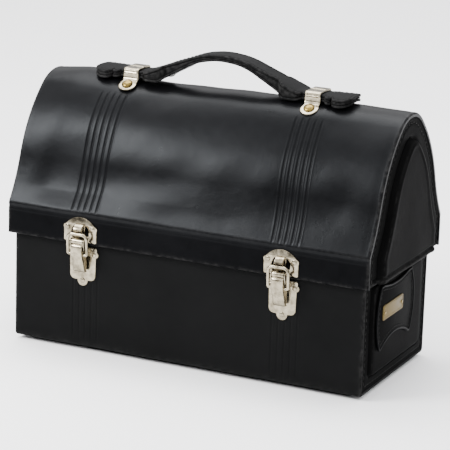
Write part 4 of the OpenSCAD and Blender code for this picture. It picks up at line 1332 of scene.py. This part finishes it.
lid_wrap()
base_wrap()
base_sole()
for side_name, side_sign in (("left", -1), ("right", 1)):
    lid_end(side_name, side_sign)
    lid_end_stitching(side_name, side_sign)
    base_end(side_name, side_sign)
    base_end_stitching(side_name, side_sign)
for k, side_name in enumerate(("left", "right")):
    for make in (latch_plate, catch_plate, lever, bail, lever_pin):
        make(side_name, LATCH_XS[k])
    handle_loop(side_name, LOOP_XS[k])
    for make in (base_leaf, lid_leaf, hinge_pin):
        make(side_name, HINGE_XS[k])
LATCH_RIVETS = ((-8.2, LATCH_EAR_Z), (8.2, LATCH_EAR_Z), (0, LATCH_TAB_Z))
small_rivets("latch_plate_rivet_heads", "latch_plate_rivets",
             [(x + u, z) for x in LATCH_XS for u, z in LATCH_RIVETS],
             -BASE_Y - GAP - CATCH_T, -Y_AXIS, (1.7, 0.75), 4.8, "base")
small_rivets("catch_rivet_heads", "catch_rivets",
             [(x + u, CATCH_EAR_Z) for x in LATCH_XS for u in (-9.2, 9.2)],
             LID_FRONT - GAP - CATCH_T, -Y_AXIS, (1.7, 0.75), 3.6, "lid")
small_rivets("hinge_base_rivet_heads", "hinge_base_rivets",
             [(x + u, SKIRT_Z - 11) for x in HINGE_XS for u in (-10, 10)],
             BASE_Y + GAP + SHEET_T, Y_AXIS, (2.0, 0.8), 5.0, "base")
small_rivets("hinge_lid_rivet_heads", "hinge_lid_rivets",
             [(x + u, SKIRT_Z + 9.5) for x in HINGE_XS for u in (-10, 10)],
             LID_Y + LID_HALF, Y_AXIS, (2.0, 0.8), 3.8, "lid")
loop_rivets()
strap_layer("handle_top_hide", "handle_top",
            (UPPER_ARCH,), (UPPER_ARCH, LAYER_T), 0.0, (TOP_HANG, TOP_HANG))
strap_layer("handle_core_board", "handle_core",
            (UPPER_ARCH, LAYER_T + GAP), (LOWER_ARCH, LAYER_T + GAP), 0.45, (TOP_HANG, LOW_HANG))
strap_layer("handle_bottom_hide", "handle_bottom",
            (LOWER_ARCH, LAYER_T), (LOWER_ARCH,), 0.0, (LOW_HANG, LOW_HANG))
strap_seams()
name_patch()
plaque()

# the boards and linings keep their CAD shape
for shell in ("base", "lid"):
    for part, material in (("shell", BOARD), ("lining", LINING)):
        obj = frame["nodes"][f"{shell}_{part}"]
        obj.data.materials.clear()
        obj.data.materials.append(material)

# ---------- camera, floor and light ----------

VIEW_AZIMUTH = math.radians(25.16)
VIEW_ELEVATION = math.radians(15.45)
VIEW_ROLL = math.radians(1.80)
VIEW_DISTANCE = 1.5835
VIEW_AIM = Vector((0, 0, 0.0951))
VIEW_OFFSET = (-0.0018, 0.0097)
VIEW_LENS = 190.3
SENSOR = 36


def camera():
    """The photo's camera, as fitted to the box's edges."""
    a, e, r = VIEW_AZIMUTH, VIEW_ELEVATION, VIEW_ROLL
    back = Vector((math.sin(a) * math.cos(e), -math.cos(a) * math.cos(e), math.sin(e)))
    right = Vector((math.cos(a), math.sin(a), 0))
    up = back.cross(right)
    right_r = right * math.cos(r) + up * math.sin(r)
    up_r = up * math.cos(r) - right * math.sin(r)
    data = bpy.data.cameras.new("view_camera")
    data.lens = VIEW_LENS
    data.sensor_width = SENSOR
    data.clip_end = 20
    obj = bpy.data.objects.new("view_camera", data)
    bpy.context.scene.collection.objects.link(obj)
    place = VIEW_AIM + back * VIEW_DISTANCE - right_r * VIEW_OFFSET[0] - up_r * VIEW_OFFSET[1]
    matrix = Matrix((right_r, up_r, back)).transposed().to_4x4()
    matrix.translation = place
    obj.matrix_world = matrix
    bpy.context.scene.camera = obj


def area_light(name, place, aim, size, power):
    """A soft white light that points at a spot."""
    data = bpy.data.lights.new(name, "AREA")
    data.shape = "RECTANGLE"
    data.size, data.size_y = size
    data.energy = power
    obj = bpy.data.objects.new(name, data)
    bpy.context.scene.collection.objects.link(obj)
    obj.location = place
    direction = Vector(aim) - Vector(place)
    obj.rotation_euler = direction.to_track_quat("-Z", "Y").to_euler()


def studio():
    """A pale floor, an even pale surround and two soft lights."""
    mesh = bpy.data.meshes.new("floor")
    size = 6
    corners = [(-size, -size, 0), (size, -size, 0), (size, size, 0), (-size, size, 0)]
    mesh.from_pydata(corners, [], [(0, 1, 2, 3)])
    floor = link("floor", mesh)
    n = Nodes("pale_floor")
    shade = n.ramp(n.noise(3, 2), [(0.3, (0.86, 0.86, 0.86)), (0.7, (0.88, 0.88, 0.88))])
    floor.data.materials.append(n.set(Base_Color=shade, Roughness=0.9))
    world = bpy.data.worlds.new("pale_surround")
    bpy.context.scene.world = world
    world.use_nodes = True
    tree = world.node_tree
    place = tree.nodes.new("ShaderNodeTexCoord")
    split = tree.nodes.new("ShaderNodeSeparateXYZ")
    tree.links.new(place.outputs["Generated"], split.inputs["Vector"])
    fade = tree.nodes.new("ShaderNodeValToRGB")
    tree.links.new(split.outputs["Z"], fade.inputs["Fac"])
    for element, (position, level) in zip(fade.color_ramp.elements, ((0.12, 0.08), (0.60, 1.0))):
        element.position = position
        element.color = (level, level, level * 1.02, 1)
    back = tree.nodes["Background"]
    tree.links.new(fade.outputs["Color"], back.inputs["Color"])
    back.inputs["Strength"].default_value = 3.1
    area_light("key", (-0.48, -0.51, 0.58), (-0.05, 0, 0.12), (0.34, 0.26), 11.5)
    area_light("top", (-0.3, 0.4, 1.5), (0, 0, 0.1), (1.2, 0.8), 32)


camera()
studio()
